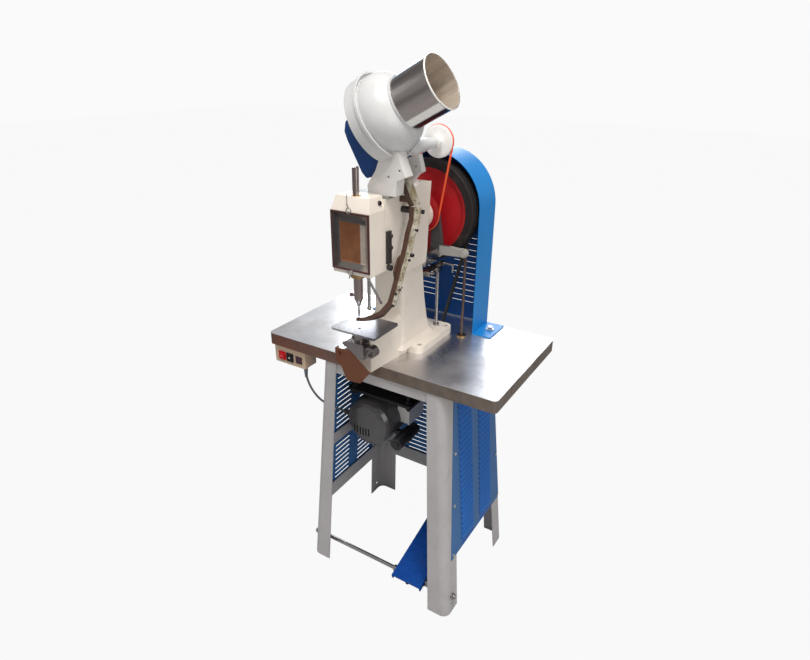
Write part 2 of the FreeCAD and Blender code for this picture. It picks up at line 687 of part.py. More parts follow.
def build_lever(casting):
    """The bell crank that trips the clutch, its pin block and its stop post."""
    x0, x1 = LEVER_PIVOT_X - 17, LEVER_PIVOT_X + 17
    low = LEVER_END_Z - LEVER_ARM_HEIGHT / 2
    high = low + LEVER_ARM_HEIGHT
    y0, y1 = LEVER_Y, LEVER_Y + LEVER_THICKNESS
    outline = [(x0, low - 9), (x1 - 6, low - 9), (x1 + 4, low), (ROD_X, low + 3), (ROD_X, high - 3),
               (x1 + 2, high), (x1 - 12, LEVER_TOP_Z), (x1 - 30, LEVER_TOP_Z), (x0, high)]
    arm = prism_xz(outline, y0, y1)
    end = rod_y(ROD_X, LEVER_END_Z, y0, y1, 12)
    pin = rod_y(ROD_X, LEVER_END_Z, y1, ROD_Y + 2.8, LEVER_END_PIN_R)
    cap = rod_y(ROD_X, LEVER_END_Z, y0 - 5, y0, 8)
    bore = rod_y(LEVER_PIVOT_X, LEVER_PIVOT_Z, y0 - 1, y1 + 1, LEVER_PIN_R + RUN_FIT)
    save("clutch_lever", cut(fuse(arm, end, pin, cap), bore))
    block = cut(box(LEVER_PIVOT_X - 14, LEVER_PIVOT_X + 12, 20, y0 - 12, LEVER_PIVOT_Z - 17,
                    LEVER_PIVOT_Z + 17), casting)
    collar = rod_y(LEVER_PIVOT_X, LEVER_PIVOT_Z, y0 - 12, y0 - GAP, 13)
    spindle = rod_y(LEVER_PIVOT_X, LEVER_PIVOT_Z, y0 - GAP, y1 + GAP, LEVER_PIN_R)
    head = rod_y(LEVER_PIVOT_X, LEVER_PIVOT_Z, y1 + GAP, y1 + GAP + 4, 11)
    save("lever_pin_block", fuse(block, collar, spindle, head))
    post_x, post_y = LEVER_PIVOT_X + 6, LEVER_Y + LEVER_THICKNESS / 2
    foot_top = TABLE_TOP_Z + FOOT_THICKNESS
    post = rod_z(post_x, post_y, foot_top, 958, 5)
    flange = rod_z(post_x, post_y, foot_top, foot_top + 5, 9)
    clamp = box(post_x - 19, post_x + 9, 40, post_y + 10, 938, 952)
    arm_back = box(post_x - 19, post_x - 5, 28, 42, 938, 952)
    nuts = [rod_x(y, 945, post_x + 9, post_x + 16, 6) for y in (60, 84)]
    lock = hexagon(post_x, post_y, 952, 14, 6)
    hook = fuse(rod_x(post_y, 962, post_x + 16, post_x + 46, 3),
                rod_z(post_x + 46, post_y, 940, 965, 3))
    bridge = box(post_x + 2, post_x + 20, post_y - 5, post_y + 5, 956, 966)
    stop = fuse(post, flange, clamp, arm_back, lock, bridge, hook, *nuts)
    save("stop_post", cut(stop, casting))


# ---- machine casting --------------------------------------------------------
def frame_casting():
    """The one-piece frame: foot, nose, column, arm, tower and rear bearing boss."""
    foot_mid = (FOOT_FRONT_Y + FOOT_REAR_Y) / 2
    foot = box(-FOOT_HALF_WIDTH, FOOT_HALF_WIDTH, FOOT_FRONT_Y, FOOT_REAR_Y,
               TABLE_TOP_Z, TABLE_TOP_Z + FOOT_THICKNESS)
    foot = round_edges(foot, FOOT_CORNER_R, V(0, 0, 1))
    foot_top = TABLE_TOP_Z + FOOT_THICKNESS
    stations = [(foot_top - 1, 58, -97, 80, 14), (foot_top + 12, 50, -88, 65, 12),
                (foot_top + 46, 47, -83, 54, 11), (foot_top + 112, COLUMN_HALF_WIDTH, -79.5, 40, 10),
                (BODY_UNDER_Z + 4, COLUMN_HALF_WIDTH, COLUMN_FRONT_Y, 24, 10)] 
    wires = [rounded_rectangle(0, (y0 + y1) / 2, half, (y1 - y0) / 2, r, z)
             for z, half, y0, y1, r in stations]
    column = Part.makeLoft(wires, True, True)
    nose_wires = []
    for y, half, top in ((-60, 47, 872), (-120, 38, 858), (NOSE_FRONT_Y, NOSE_HALF_WIDTH, NOSE_TOP_Z)):
        low = TABLE_TOP_Z
        nose_wires.append(Part.makePolygon([
            V(-half, y, low), V(half, y, low), V(half, y, top - 10), V(half - 10, y, top),
            V(10 - half, y, top), V(-half, y, top - 10), V(-half, y, low)]))
    nose = Part.makeLoft(nose_wires, True, True)
    outline = [(ARM_FRONT_Y, ARM_UNDER_Z), (ARM_FRONT_Y, ARM_TOP_Z), (-96, ARM_TOP_Z),
               (-96, 1160), (-60, 1156), (-60, TOWER_TOP_Z), (42, TOWER_TOP_Z), (37, 1148),
               (28, ARM_UNDER_Z), (24, BODY_UNDER_Z), (COLUMN_FRONT_Y, BODY_UNDER_Z),
               (COLUMN_FRONT_Y, ARM_UNDER_Z)]
    body = prism_yz(outline, -BODY_HALF_WIDTH, BODY_HALF_WIDTH)
    boss = turned_y(0, SHAFT_Z, [(0, 20), (BOSS_R + 4, 20), (BOSS_R, 62), (BOSS_R, BOSS_REAR_Y - 6),
                                 (BOSS_R - 6, BOSS_REAR_Y), (0, BOSS_REAR_Y)])
    bore = rod_y(0, SHAFT_Z, ARM_FRONT_Y - 1, BOSS_REAR_Y + 1, BUSH_OUTER_R)
    seat = rod_z(0, RAM_Y, POST_FOOT_Z - GAP, NOSE_TOP_Z + 20, POST_R + SEAT_FIT)
    holes = [bore, seat]
    for sx in (-1, 1):
        for sy in (-1, 1):
            holes.append(rod_z(sx * BOLT_SPACING_X / 2, BOLT_CENTRE_Y + sy * BOLT_SPACING_Y / 2,
                               TABLE_TOP_Z - 1, foot_top + 1, BOLT_HOLE_R))
    return cut(fuse(foot, column, nose, body, boss), *holes)


# ---- bearings and bolts -----------------------------------------------------
def ring_z(x, y, z0, z1, inner, outer):
    """A sleeve along Z."""
    return cut(rod_z(x, y, z0, z1, outer), rod_z(x, y, z0 - 1, z1 + 1, inner))


def ring_y(x, z, y0, y1, inner, outer):
    """A sleeve along Y."""
    return cut(rod_y(x, z, y0, y1, outer), rod_y(x, z, y0 - 1, y1 + 1, inner))


def build_bushes():
    """Bronze bushes: two for the main shaft, two for the ram, one for the trip rod."""
    inner, outer = SHAFT_R + RUN_FIT, BUSH_OUTER_R - SEAT_FIT
    front = ring_y(0, SHAFT_Z, ARM_FRONT_Y, ARM_FRONT_Y + 36, inner, outer)
    rear = fuse(ring_y(0, SHAFT_Z, BOSS_REAR_Y - 40, BOSS_REAR_Y, inner, outer),
                ring_y(0, SHAFT_Z, BOSS_REAR_Y, BOSS_REAR_Y + 1.6, inner, outer + 5))
    low = fuse(ring_z(0, RAM_Y, ARM_UNDER_Z, ARM_UNDER_Z + HEAD_FLOOR, RAM_R + RUN_FIT,
                      LOWER_BUSH_R - SEAT_FIT),
               ring_z(0, RAM_Y, ARM_UNDER_Z - 13, ARM_UNDER_Z, RAM_R + RUN_FIT, LOWER_BUSH_R + 2.5))
    high = ring_z(0, RAM_Y, HEAD_ROOF_Z, HEAD_TOP_Z + 2, RAM_ROD_R + RUN_FIT,
                  UPPER_BUSH_R - SEAT_FIT)
    rod_bush = fuse(ring_z(ROD_X, ROD_Y, TABLE_TOP_Z - 20, TABLE_TOP_Z, ROD_R + RUN_FIT,
                           ROD_BUSH_R - SEAT_FIT),
                    ring_z(ROD_X, ROD_Y, TABLE_TOP_Z, TABLE_TOP_Z + 4, ROD_R + RUN_FIT,
                           ROD_BUSH_R + 4))
    save("bearing_bushes", front, rear, low, high, rod_bush)


def build_bolts():
    """Foot bolts sunk in the casting, and guard bolts on washers."""
    bolts = []
    for sx in (-1, 1):
        for sy in (-1, 1):
            x = sx * BOLT_SPACING_X / 2
            y = BOLT_CENTRE_Y + sy * BOLT_SPACING_Y / 2
            bolt = rod_z(x, y, STAND_TOP - 14, TABLE_TOP_Z + 11, BOLT_R)
            socket = hexagon(x, y, TABLE_TOP_Z + 6, 7, 6)
            bolts.append(fuse(cut(bolt, socket), hexagon(x, y, STAND_TOP - 11, 19, 11)))
        x = sx * GUARD_BOLT_X
        seat = TABLE_TOP_Z + GUARD_FOOT_SHEET
        bolt = fuse(hexagon(x, GUARD_BOLT_Y, seat + 2, 14, 7),
                    rod_z(x, GUARD_BOLT_Y, seat, seat + 2, 12),
                    rod_z(x, GUARD_BOLT_Y, STAND_TOP - 12, seat, 5),
                    hexagon(x, GUARD_BOLT_Y, STAND_TOP - 8, 16, 8))
        bolts.append(bolt)
    save("machine_bolts", *bolts)


# ---- main shaft, flywheel and belts -----------------------------------------
def build_shaft():
    """The main shaft with its crank disc and stub pin, pin at the top."""
    disc_rear = ARM_FRONT_Y - 3
    disc_front = disc_rear - CRANK_DISC
    end = FLYWHEEL_FRONT_Y + FLYWHEEL_WIDTH + 14
    shaft = rod_y(0, SHAFT_Z, disc_rear, end, SHAFT_R)
    disc = rod_y(0, SHAFT_Z, disc_front, disc_rear, CRANK_DISC_R)
    pin = rod_y(0, SHAFT_Z + STROKE / 2, ROD_REAR_Y + GAP, disc_front, CRANK_PIN_R)
    collar = rod_y(0, SHAFT_Z, end - 12, end - 2, 22)
    save("main_shaft", fuse(shaft, disc, pin, collar))


def cord_groove(x, z, radius):
    """The round groove that a pulley needs for the cord belt."""
    return Part.makeTorus(radius, CORD_BELT_R + GAP, V(x, CORD_BELT_Y, z), V(0, 1, 0))


def build_flywheel():
    """Red web with its hub and cord pulley, and the black rim with the belt groove."""
    front = FLYWHEEL_FRONT_Y
    back = front + FLYWHEEL_WIDTH
    bore = SHAFT_R + RUN_FIT
    c0 = CORD_BELT_Y - CORD_PULLEY_WIDTH / 2
    c1 = CORD_BELT_Y + CORD_PULLEY_WIDTH / 2
    web_back = WEB_FRONT_Y + WEB_THICKNESS
    rim_in = RIM_INNER_R - SEAT_FIT
    profile = [(bore, c0), (CORD_PULLEY_R + 1, c0),
               (CORD_PULLEY_R + 1, c1), (24, c1), (24, front),
               (30, front + 2), (30, WEB_FRONT_Y), (rim_in - 8, WEB_FRONT_Y),
               (rim_in - 8, front + 3), (rim_in, front + 3), (rim_in, back - 3),
               (rim_in - 8, back - 3), (rim_in - 8, web_back), (34, web_back), (34, back),
               (bore, back)]
    save("flywheel", cut(turned_y(0, SHAFT_Z, profile), cord_groove(0, SHAFT_Z, CORD_PULLEY_R)))
    depth = V_BELT_R_FLYWHEEL - V_BELT_HEIGHT / 2 - GAP
    half = V_BELT_WIDTH / 2 + 0.6
    rim = [(RIM_INNER_R, front), (FLYWHEEL_R - 2, front), (FLYWHEEL_R, front + 2),
           (FLYWHEEL_R, V_BELT_Y - half - 1), (depth, V_BELT_Y - half), (depth, V_BELT_Y + half),
           (FLYWHEEL_R, V_BELT_Y + half + 1), (FLYWHEEL_R, back - 2), (FLYWHEEL_R - 2, back),
           (RIM_INNER_R, back)]
    save("flywheel_rim", turned_y(0, SHAFT_Z, rim))


def belt_wire(x1, z1, r1, x2, z2, r2, y):
    """An open belt round two pulleys: two tangents and two arcs."""
    length = math.hypot(x2 - x1, z2 - z1)
    base = math.atan2(z2 - z1, x2 - x1)
    lean = math.acos((r1 - r2) / length)

    def at(x, z, r, angle):
        return V(x + r * math.cos(angle), y, z + r * math.sin(angle))

    a1, b1 = at(x1, z1, r1, base + lean), at(x1, z1, r1, base - lean)
    a2, b2 = at(x2, z2, r2, base + lean), at(x2, z2, r2, base - lean)
    far1, far2 = at(x1, z1, r1, base + math.pi), at(x2, z2, r2, base)
    return Part.Wire([Part.Arc(a1, far1, b1).toShape(), Part.makeLine(b1, b2),
                      Part.Arc(b2, far2, a2).toShape(), Part.makeLine(a2, a1)])


def build_belts():
    """The V-belt from the motor and the round belt up to the hopper."""
    y0 = V_BELT_Y - V_BELT_WIDTH / 2
    half = V_BELT_HEIGHT / 2
    outer = belt_wire(0, SHAFT_Z, V_BELT_R_FLYWHEEL + half, MOTOR_X, MOTOR_Z,
                      V_BELT_R_MOTOR + half, y0)
    inner = belt_wire(0, SHAFT_Z, V_BELT_R_FLYWHEEL - half, MOTOR_X, MOTOR_Z,
                      V_BELT_R_MOTOR - half, y0)
    push = V(0, V_BELT_WIDTH, 0)
    save("v_belt", cut(Part.Face(outer).extrude(push), Part.Face(inner).extrude(push)))
    wire = belt_wire(0, SHAFT_Z, CORD_PULLEY_R, DRIVE_X, DRIVE_Z, HOPPER_PULLEY_R, CORD_BELT_Y)
    start = wire.OrderedVertexes[0].Point
    edge = wire.OrderedEdges[0]
    tangent = edge.tangentAt(edge.FirstParameter)
    circle = Part.Wire(Part.makeCircle(CORD_BELT_R, start, tangent))
    save("cord_belt", wire.makePipeShell([circle], True, True))


# ---- motor ------------------------------------------------------------------
def motor_section(profile):
    return turned_y(MOTOR_X, MOTOR_Z, profile)


def build_motor():
    """Body, front cover, rotor with fan and pulley, boxes and the hanging plate."""
    seam = MOTOR_FRONT_Y + MOTOR_COVER_DEPTH
    bore = MOTOR_SHAFT_R + RUN_FIT
    body = motor_section([(bore, seam + 2), (MOTOR_R - 1, seam + 2), (MOTOR_R - 1, seam + 8),
                          (MOTOR_R, seam + 10), (MOTOR_R, MOTOR_REAR_Y - 12),
                          (MOTOR_R - 8, MOTOR_REAR_Y), (26, MOTOR_REAR_Y), (24, MOTOR_REAR_Y + 6),
                          (bore, MOTOR_REAR_Y + 6), (bore, MOTOR_REAR_Y - 8), (46, MOTOR_REAR_Y - 8),
                          (46, seam + 12), (bore, seam + 12)])
    plate_z = MOTOR_Z + MOTOR_R + 5
    feet = box(MOTOR_X - 42, MOTOR_X + 42, -46, 70, MOTOR_Z + MOTOR_R - 22, plate_z)
    core = rod_y(MOTOR_X, MOTOR_Z, seam + 2, MOTOR_REAR_Y, MOTOR_R - 6)
    gland_y = CORD_ROUTE[-1][1]
    gland = rod_x(gland_y, CORD_ROUTE[-1][2], CORD_ROUTE[-1][0], MOTOR_X - MOTOR_R + 6, 8)
    save("motor_body", fuse(body, cut(feet, core)))
    cover_outer = motor_cover_profile(0)
    cover_inner = motor_cover_profile(3)
    cover = cut(cover_outer, cover_inner)
    slots = []
    for index in range(6):
        x = MOTOR_X - 44 + 10 * index
        low = MOTOR_Z - 42 + 1.5 * abs(index - 3)
        slots.append(box(x, x + 4.5, MOTOR_FRONT_Y - 1, MOTOR_FRONT_Y + 24, low, low + 26))
    gland = cut(gland, motor_cover_profile(1.5))
    save("motor_end_cover", cut(fuse(cover, gland), *slots))
    y0 = V_BELT_Y - 10
    y1 = V_BELT_Y + 10
    groove = V_BELT_R_MOTOR - V_BELT_HEIGHT / 2 - GAP
    half = V_BELT_WIDTH / 2 + 0.6
    flange = V_BELT_R_MOTOR + V_BELT_HEIGHT / 2
    rotor = motor_section([(0, seam - 26), (MOTOR_SHAFT_R, seam - 26), (MOTOR_SHAFT_R, seam + 24),
                           (42, seam + 24), (42, MOTOR_REAR_Y - 20),
                           (MOTOR_SHAFT_R, MOTOR_REAR_Y - 20), (MOTOR_SHAFT_R, y0 - 8), (20, y0 - 8),
                           (20, y0), (flange, y0), (flange, V_BELT_Y - half - 1),
                           (groove, V_BELT_Y - half), (groove, V_BELT_Y + half),
                           (flange, V_BELT_Y + half + 1), (flange, y1 - 4), (20, y1), (0, y1)])
    blades = []
    for index in range(7):
        blade = box(8, 58, seam - 22, seam - 6, -1.2, 1.2)
        blade.rotate(V(0, 0, 0), V(0, 1, 0), 360 / 7 * index)
        blade.translate(V(MOTOR_X, 0, MOTOR_Z))
        blades.append(blade)
    save("motor_rotor", fuse(rotor, *blades))
    envelope = rod_y(MOTOR_X, MOTOR_Z, MOTOR_FRONT_Y, MOTOR_REAR_Y, MOTOR_R + SEAT_FIT)
    wiring = round_edges(box(8, 42, -42, 36, 506, plate_z - 4), 5, V(0, 1, 0))
    lid = round_edges(box(42, 48, -44, 38, 504, plate_z - 4), 2, V(1, 0, 0))
    save("terminal_box", fuse(cut(wiring, envelope), lid))
    can_x, can_z = MOTOR_X + 95, MOTOR_Z - 42
    can = fuse(rod_y(can_x, can_z, -100, 4, 19), rod_y(can_x, can_z, -104, -100, 9),
               rod_y(can_x, can_z, -52, -40, 21),
               cut(box(MOTOR_X + 40, can_x, -52, -40, can_z - 2, can_z + 12), envelope))
    save("motor_capacitor", can)
    plate = box(MOTOR_PLATE_X0, MOTOR_PLATE_X1, MOTOR_PLATE_Y0, MOTOR_PLATE_Y1,
                plate_z, plate_z + MOTOR_PLATE)
    plate = round_edges(plate, 10, V(0, 0, 1))
    lip = box(MOTOR_PLATE_X0 + 12, MOTOR_PLATE_X1 - 12, MOTOR_PLATE_Y1 - 6, MOTOR_PLATE_Y1,
              plate_z + MOTOR_PLATE, plate_z + MOTOR_PLATE + 30)
    hangers = []
    for x in (MOTOR_PLATE_X0 + 17, MOTOR_PLATE_X1 - 16):
        for y in (MOTOR_PLATE_Y0 + 16, MOTOR_PLATE_Y1 - 22):
            hangers += [rod_z(x, y, plate_z - 16, STAND_TOP, HANGER_R),
                        hexagon(x, y, plate_z - 9, 17, 9),
                        hexagon(x, y, plate_z + MOTOR_PLATE, 17, 9),
                        rod_z(x, y, STAND_TOP - 4, STAND_TOP, 16)]
    save("motor_plate", fuse(plate, lip, *hangers))


def motor_cover_profile(inset):
    """The domed cup over the motor's front, drawn in by an inset."""
    seam = MOTOR_FRONT_Y + MOTOR_COVER_DEPTH
    r = MOTOR_R - inset
    front = MOTOR_FRONT_Y + inset
    back = seam + (1 if inset else 0)
    shape = motor_section([(0, front), (r - 20, front), (r - 9, front + 5), (r - 2, front + 15),
                           (r, front + 24), (r, back), (0, back)])
    return shape


# ---- switch box and cord ----------------------------------------------------
def build_switch_box():
    """The box under the table with its two push buttons and a dark window recess."""
    y0 = SWITCH_FRONT_Y
    y1 = y0 + SWITCH_DEPTH
    z1 = STAND_TOP
    z0 = z1 - SWITCH_HEIGHT
    case = box(SWITCH_X0, SWITCH_X1, y0, y1, z0, z1)
    case = round_edges(case, 4, V(0, 1, 0))
    wells = [rod_y(x, BUTTON_Z, y0 - 1, y0 + BUTTON_DEPTH + BUTTON_TRAVEL + 5, BUTTON_R + GAP)
             for x in (STOP_BUTTON_X, START_BUTTON_X)]
    window = box(WINDOW_X - 9, WINDOW_X + 9, y0 - 1, y0 + 2, BUTTON_Z - 11, BUTTON_Z + 11)
    exit_x, exit_y, exit_z = CORD_ROUTE[0]
    gland = rod_z(exit_x, exit_y, exit_z, z0, 7)
    save("switch_box", fuse(cut(case, window, *wells), gland))
    for name, x, proud in (("stop_button", STOP_BUTTON_X, 6), ("start_button", START_BUTTON_X, 4)):
        profile = [(0, y0 - proud), (BUTTON_R - 1.5, y0 - proud), (BUTTON_R, y0 - proud + 1.5),
                   (BUTTON_R, y0 + BUTTON_DEPTH), (0, y0 + BUTTON_DEPTH)]
        save(name, turned_y(x, BUTTON_Z, profile))


def build_cord():
    """The motor lead: straight runs joined by tangent arcs."""
    points = [V(*p) for p in CORD_ROUTE]
    edges = []
    last = points[0]
    radii = []
    for index in range(1, len(points) - 1):
        before = points[index - 1] - points[index]
        after = points[index + 1] - points[index]
        turn = math.pi - before.getAngle(after)
        reach = 0.45 * min(before.Length, after.Length)
        radii.append(reach / math.tan(turn / 2))
        start = points[index] + before.normalize() * reach
        end = points[index] + after.normalize() * reach
        bisector = (before + after).normalize()
        centre = points[index] + bisector * (radii[-1] / math.cos(turn / 2))
        middle = centre - bisector * radii[-1]
        edges += [Part.makeLine(last, start), Part.Arc(start, middle, end).toShape()]
        last = end
    edges.append(Part.makeLine(last, points[-1]))
    wire = Part.Wire(edges)
    circle = Part.Wire(Part.makeCircle(CORD_R, points[0], points[1] - points[0]))
    tube = wire.makePipeShell([circle], True, True)
    print("cord radii", ["%.0f" % r for r in radii], "length %.1f" % wire.Length,
          "volume ratio %.4f" % (tube.Volume / (math.pi * CORD_R ** 2 * wire.Length)))
    save("motor_cord", tube)


# ---- head and ram -----------------------------------------------------------
def level_rectangle(half, y0, y1, z):
    return Part.makePolygon([V(-half, y0, z), V(half, y0, z), V(half, y1, z), V(-half, y1, z),
                             V(-half, y0, z)])


def upright_rectangle(half_x, z0, z1, y):
    return Part.makePolygon([V(-half_x, y, z0), V(half_x, y, z0), V(half_x, y, z1),
                             V(-half_x, y, z1), V(-half_x, y, z0)])


def build_head():
    """The hollow head block and the dished cover over its front."""
    shell = box(-BODY_HALF_WIDTH, BODY_HALF_WIDTH, HEAD_FRONT_Y, ARM_FRONT_Y,
                ARM_UNDER_Z, HEAD_SHOULDER_Z)
    cap = Part.makeLoft([level_rectangle(BODY_HALF_WIDTH, HEAD_FRONT_Y, ARM_FRONT_Y,
                                         HEAD_SHOULDER_Z),
                         level_rectangle(BODY_HALF_WIDTH - 7, HEAD_FRONT_Y + 12, ARM_FRONT_Y,
                                         HEAD_TOP_Z)], True, True)
    inner = BODY_HALF_WIDTH - HEAD_SIDE_WALL
    cavity = box(-inner, inner, HEAD_FRONT_Y - 1, ARM_FRONT_Y + 1, ARM_UNDER_Z + HEAD_FLOOR,
                 HEAD_ROOF_Z)
    bores = [rod_z(0, RAM_Y, ARM_UNDER_Z - 1, ARM_UNDER_Z + HEAD_FLOOR + 1, LOWER_BUSH_R),
             rod_z(0, RAM_Y, HEAD_ROOF_Z - 1, HEAD_TOP_Z + 1, UPPER_BUSH_R),
             rod_x(-190, 1182, BODY_HALF_WIDTH - 14, BODY_HALF_WIDTH + 1, 5.6)]
    save("head_block", cut(fuse(shell, cap), cavity, *bores))
    rim = box(-BODY_HALF_WIDTH, BODY_HALF_WIDTH, COVER_FRONT_Y, HEAD_FRONT_Y,
              COVER_BOTTOM_Z, COVER_TOP_Z)
    half = BODY_HALF_WIDTH - COVER_RIM
    low, high = COVER_BOTTOM_Z + COVER_RIM, COVER_TOP_Z - COVER_RIM
    bottom_y = COVER_FRONT_Y + COVER_DISH
    wall = 1.3 * COVER_PLATE

    def frustum(grow, y_end):
        return Part.makeLoft([
            upright_rectangle(half + grow, low - grow, high + grow, COVER_FRONT_Y),
            upright_rectangle(half - COVER_SLOPE + grow, low + COVER_SLOPE - grow,
                              high - COVER_SLOPE + grow, y_end)], True, True)

    pan = fuse(rim, frustum(wall, bottom_y + COVER_PLATE))
    save("front_cover", cut(pan, frustum(0, bottom_y)))


def wire_rod(start, end, radius):
    return rod(start, end - start, radius, (end - start).Length)


def build_clips():
    """Wire rings that hold the cover, with their hooks."""
    y = COVER_FRONT_Y - 1.0
    pieces = []
    for z, end in ((COVER_TOP_Z + 4, V(-16, HEAD_FRONT_Y + 11, HEAD_TOP_Z + 3)),
                   (COVER_BOTTOM_Z - 4, V(-8, RAM_Y - 20.5, ARM_UNDER_Z - 2))):
        ring = Part.makeTorus(6.5, 1.0, V(0, y, z), V(0, 1, 0))
        lift = 6.5 if end.z > z else -6.5
        start = V(0, y, z + lift)
        bend = V(-4, y, z + 2.2 * lift)
        ball = Part.makeSphere(1.0, bend)
        pieces.append(fuse(ring, wire_rod(start, bend, 1.0), ball, wire_rod(bend, end, 1.0)))
    save("cover_clips", *pieces)


def build_ram():
    """Ram with crosshead and wrist pin, connecting rod, punch, and the guide rod."""
    ram = fuse(rod_z(0, RAM_Y, RAM_SLEEVE_Z, RAM_SHOULDER_Z, RAM_R),
               rod_z(0, RAM_Y, RAM_SHOULDER_Z, RAM_TOP_Z, RAM_ROD_R),
               box(-14, 14, RAM_Y - 12, CROSSHEAD_REAR_Y, CROSSHEAD_Z - 12, CROSSHEAD_Z + 12),
               rod_y(0, CROSSHEAD_Z, CROSSHEAD_REAR_Y, ROD_REAR_Y + GAP, WRIST_PIN_R),
               rod_x(RAM_Y, RAM_SLEEVE_Z + 7, -24, -RAM_R + 1, 3),
               rod_x(RAM_Y, RAM_SLEEVE_Z + 7, -24, -18, 5))
    save("ram", ram)
    big_z = SHAFT_Z + STROKE / 2
    y0, y1 = CROSSHEAD_REAR_Y + 1, ROD_REAR_Y
    link = fuse(rod_y(0, big_z, y0, y1, 14), rod_y(0, CROSSHEAD_Z, y0, y1, 11),
                box(-7, 7, y0, y1, CROSSHEAD_Z, big_z))
    save("connecting_rod", cut(link, rod_y(0, big_z, y0 - 1, y1 + 1, CRANK_PIN_R + RUN_FIT),
                               rod_y(0, CROSSHEAD_Z, y0 - 1, y1 + 1, WRIST_PIN_R + RUN_FIT)))
    z = RAM_SLEEVE_Z
    punch = turned([(0, z), (9.5, z), (9.5, z - 2), (6, z - 11), (5, z - 11), (5, z - 16),
                    (PUNCH_R, z - 19), (PUNCH_R, PUNCH_TIP_Z + 5), (PUNCH_R - 0.8, PUNCH_TIP_Z + 4),
                    (PUNCH_R - 0.8, PUNCH_TIP_Z), (0, PUNCH_TIP_Z)])
    punch.translate(V(0, RAM_Y, 0))
    save("punch", punch)
    guide = rod_z(GUIDE_X, GUIDE_Y, 922, ARM_UNDER_Z, 4)
    ball = Part.makeSphere(6, V(GUIDE_X, GUIDE_Y, 920))
    brace = wire_rod(V(GUIDE_X - 3, GUIDE_Y - 8, ARM_UNDER_Z - 8), V(40, -171, 930), 3)
    boss = box(GUIDE_X - 6, GUIDE_X + 6, GUIDE_Y - 12, GUIDE_Y + 5, ARM_UNDER_Z - 12, ARM_UNDER_Z)
    flange = rod_z(0, RAM_Y, ARM_UNDER_Z - 20, ARM_UNDER_Z + 1, LOWER_BUSH_R + 3)
    save("guide_rod", cut(fuse(guide, ball, brace, boss), flange))


# ---- work place -------------------------------------------------------------
def build_work_place():
    """Work plate, die on its post with the clamp, and the scrap chute."""
    plate = box(-PLATE_HALF_WIDTH, PLATE_HALF_WIDTH, PLATE_FRONT_Y, PLATE_REAR_Y,
                PLATE_TOP_Z - PLATE_THICKNESS, PLATE_TOP_Z)
    plate = round_edges(plate, 4, V(0, 0, 1))
    hole = rod_z(0, RAM_Y, PLATE_TOP_Z - PLATE_THICKNESS - 1, PLATE_TOP_Z + 1, DIE_R + GAP)
    save("work_plate", cut(plate, hole))
    under = PLATE_TOP_Z - PLATE_THICKNESS
    post = fuse(rod_z(0, RAM_Y, POST_FOOT_Z, under, POST_R),
                rod_z(0, RAM_Y, under, PLATE_TOP_Z - 1.5, DIE_R))
    front = RAM_Y - 22
    clamp = box(-26, 26, front, NOSE_FRONT_Y, POST_FOOT_Z + 6, POST_FOOT_Z + 46)
    foot = POST_FOOT_Z
    clamp = fuse(clamp, box(-26, 26, NOSE_FRONT_Y - 1, NOSE_FRONT_Y, foot + 6, foot + 52),
                 box(24, 32, front + 6, NOSE_FRONT_Y, foot + 16, foot + 38),
                 rod_y(41, foot + 27, front + 6, NOSE_FRONT_Y, 15))
    seat = rod_z(0, RAM_Y, POST_FOOT_Z, POST_FOOT_Z + 60, POST_R + SEAT_FIT)
    eye = rod_y(41, foot + 27, front, NOSE_FRONT_Y + 1, 10)
    bolts = []
    for z in (POST_FOOT_Z + 14, POST_FOOT_Z + 34):
        bolts.append(fuse(rod_x(front + 7, z, -34, -26, 7), rod_x(front + 7, z, -40, -34, 4)))
    save("die_post", post, cut(clamp, seat, eye), *bolts)
    chute_y = front - CHUTE_SHEET
    outline = [(-61, 19), (-18, 22), (46, -23), (35, -38), (15, -63), (-27, -66), (-44, -28),
               (-61, -16)]
    edge = [(-61, 19), (-61, -16), (-44, -28), (-27, -66), (-25.5, -65), (-42.5, -27),
            (-59.5, -15), (-59.5, 19)]
    chute = prism_xz([(x, foot + z) for x, z in outline], chute_y, front)
    flange = prism_xz([(x, foot + z) for x, z in edge], front, front + 12)
    bolt = rod_y(-50, foot + 6, chute_y - 3, chute_y, 5)
    save("scrap_chute", fuse(chute, flange, bolt))


# ---- hopper -----------------------------------------------------------------
def hopper_frame(shape):
    """Moves a shape from the hopper's own frame: Z out of its mouth, X down the disc."""
    angle = math.radians(HOPPER_TILT)
    out = V(math.sin(angle), 0, math.cos(angle))
    down = V(math.cos(angle), 0, -math.sin(angle))
    return placed(shape, HOPPER_CENTRE, down, out)


def lid_arc(inset):
    """The round shoulder of the lid, drawn in by an inset."""
    low = HOUSING_FRONT + LID_LIP + 1
    high = LID_TOP - 7
    foot = LID_R - LID_RIM - LID_GROOVE
    return Part.Arc(V(foot - inset, 0, low), V(foot - 6 - inset, 0, (low + high) / 2 + 5),
                    V(DRUM_R + SEAT_FIT + LID_WALL + LID_COLLAR - inset, 0, high))


def lid_body(inset, low):
    """The turned solid of the lid, drawn in by an inset, from a height up."""
    arc = lid_arc(inset)
    start, end = arc.StartPoint, arc.EndPoint
    collar = end.x - LID_COLLAR
    points = [end, V(collar, 0, end.z + 1.5), V(collar, 0, LID_TOP), V(0, 0, LID_TOP), V(0, 0, low)]
    if inset:
        points += [V(start.x, 0, low), start]
    else:
        lip = HOUSING_FRONT + LID_LIP
        inner = LID_R - LID_RIM
        points += [V(LID_R, 0, low), V(LID_R, 0, lip), V(inner, 0, lip),
                   V(inner, 0, lip - LID_GROOVE_DEPTH), V(start.x, 0, lip - LID_GROOVE_DEPTH), start]
    edges = [arc.toShape()] + [Part.makeLine(a, b) for a, b in zip(points, points[1:])]
    return Part.Face(Part.Wire(edges)).revolve(V(0, 0, 0), V(0, 0, 1), 360)


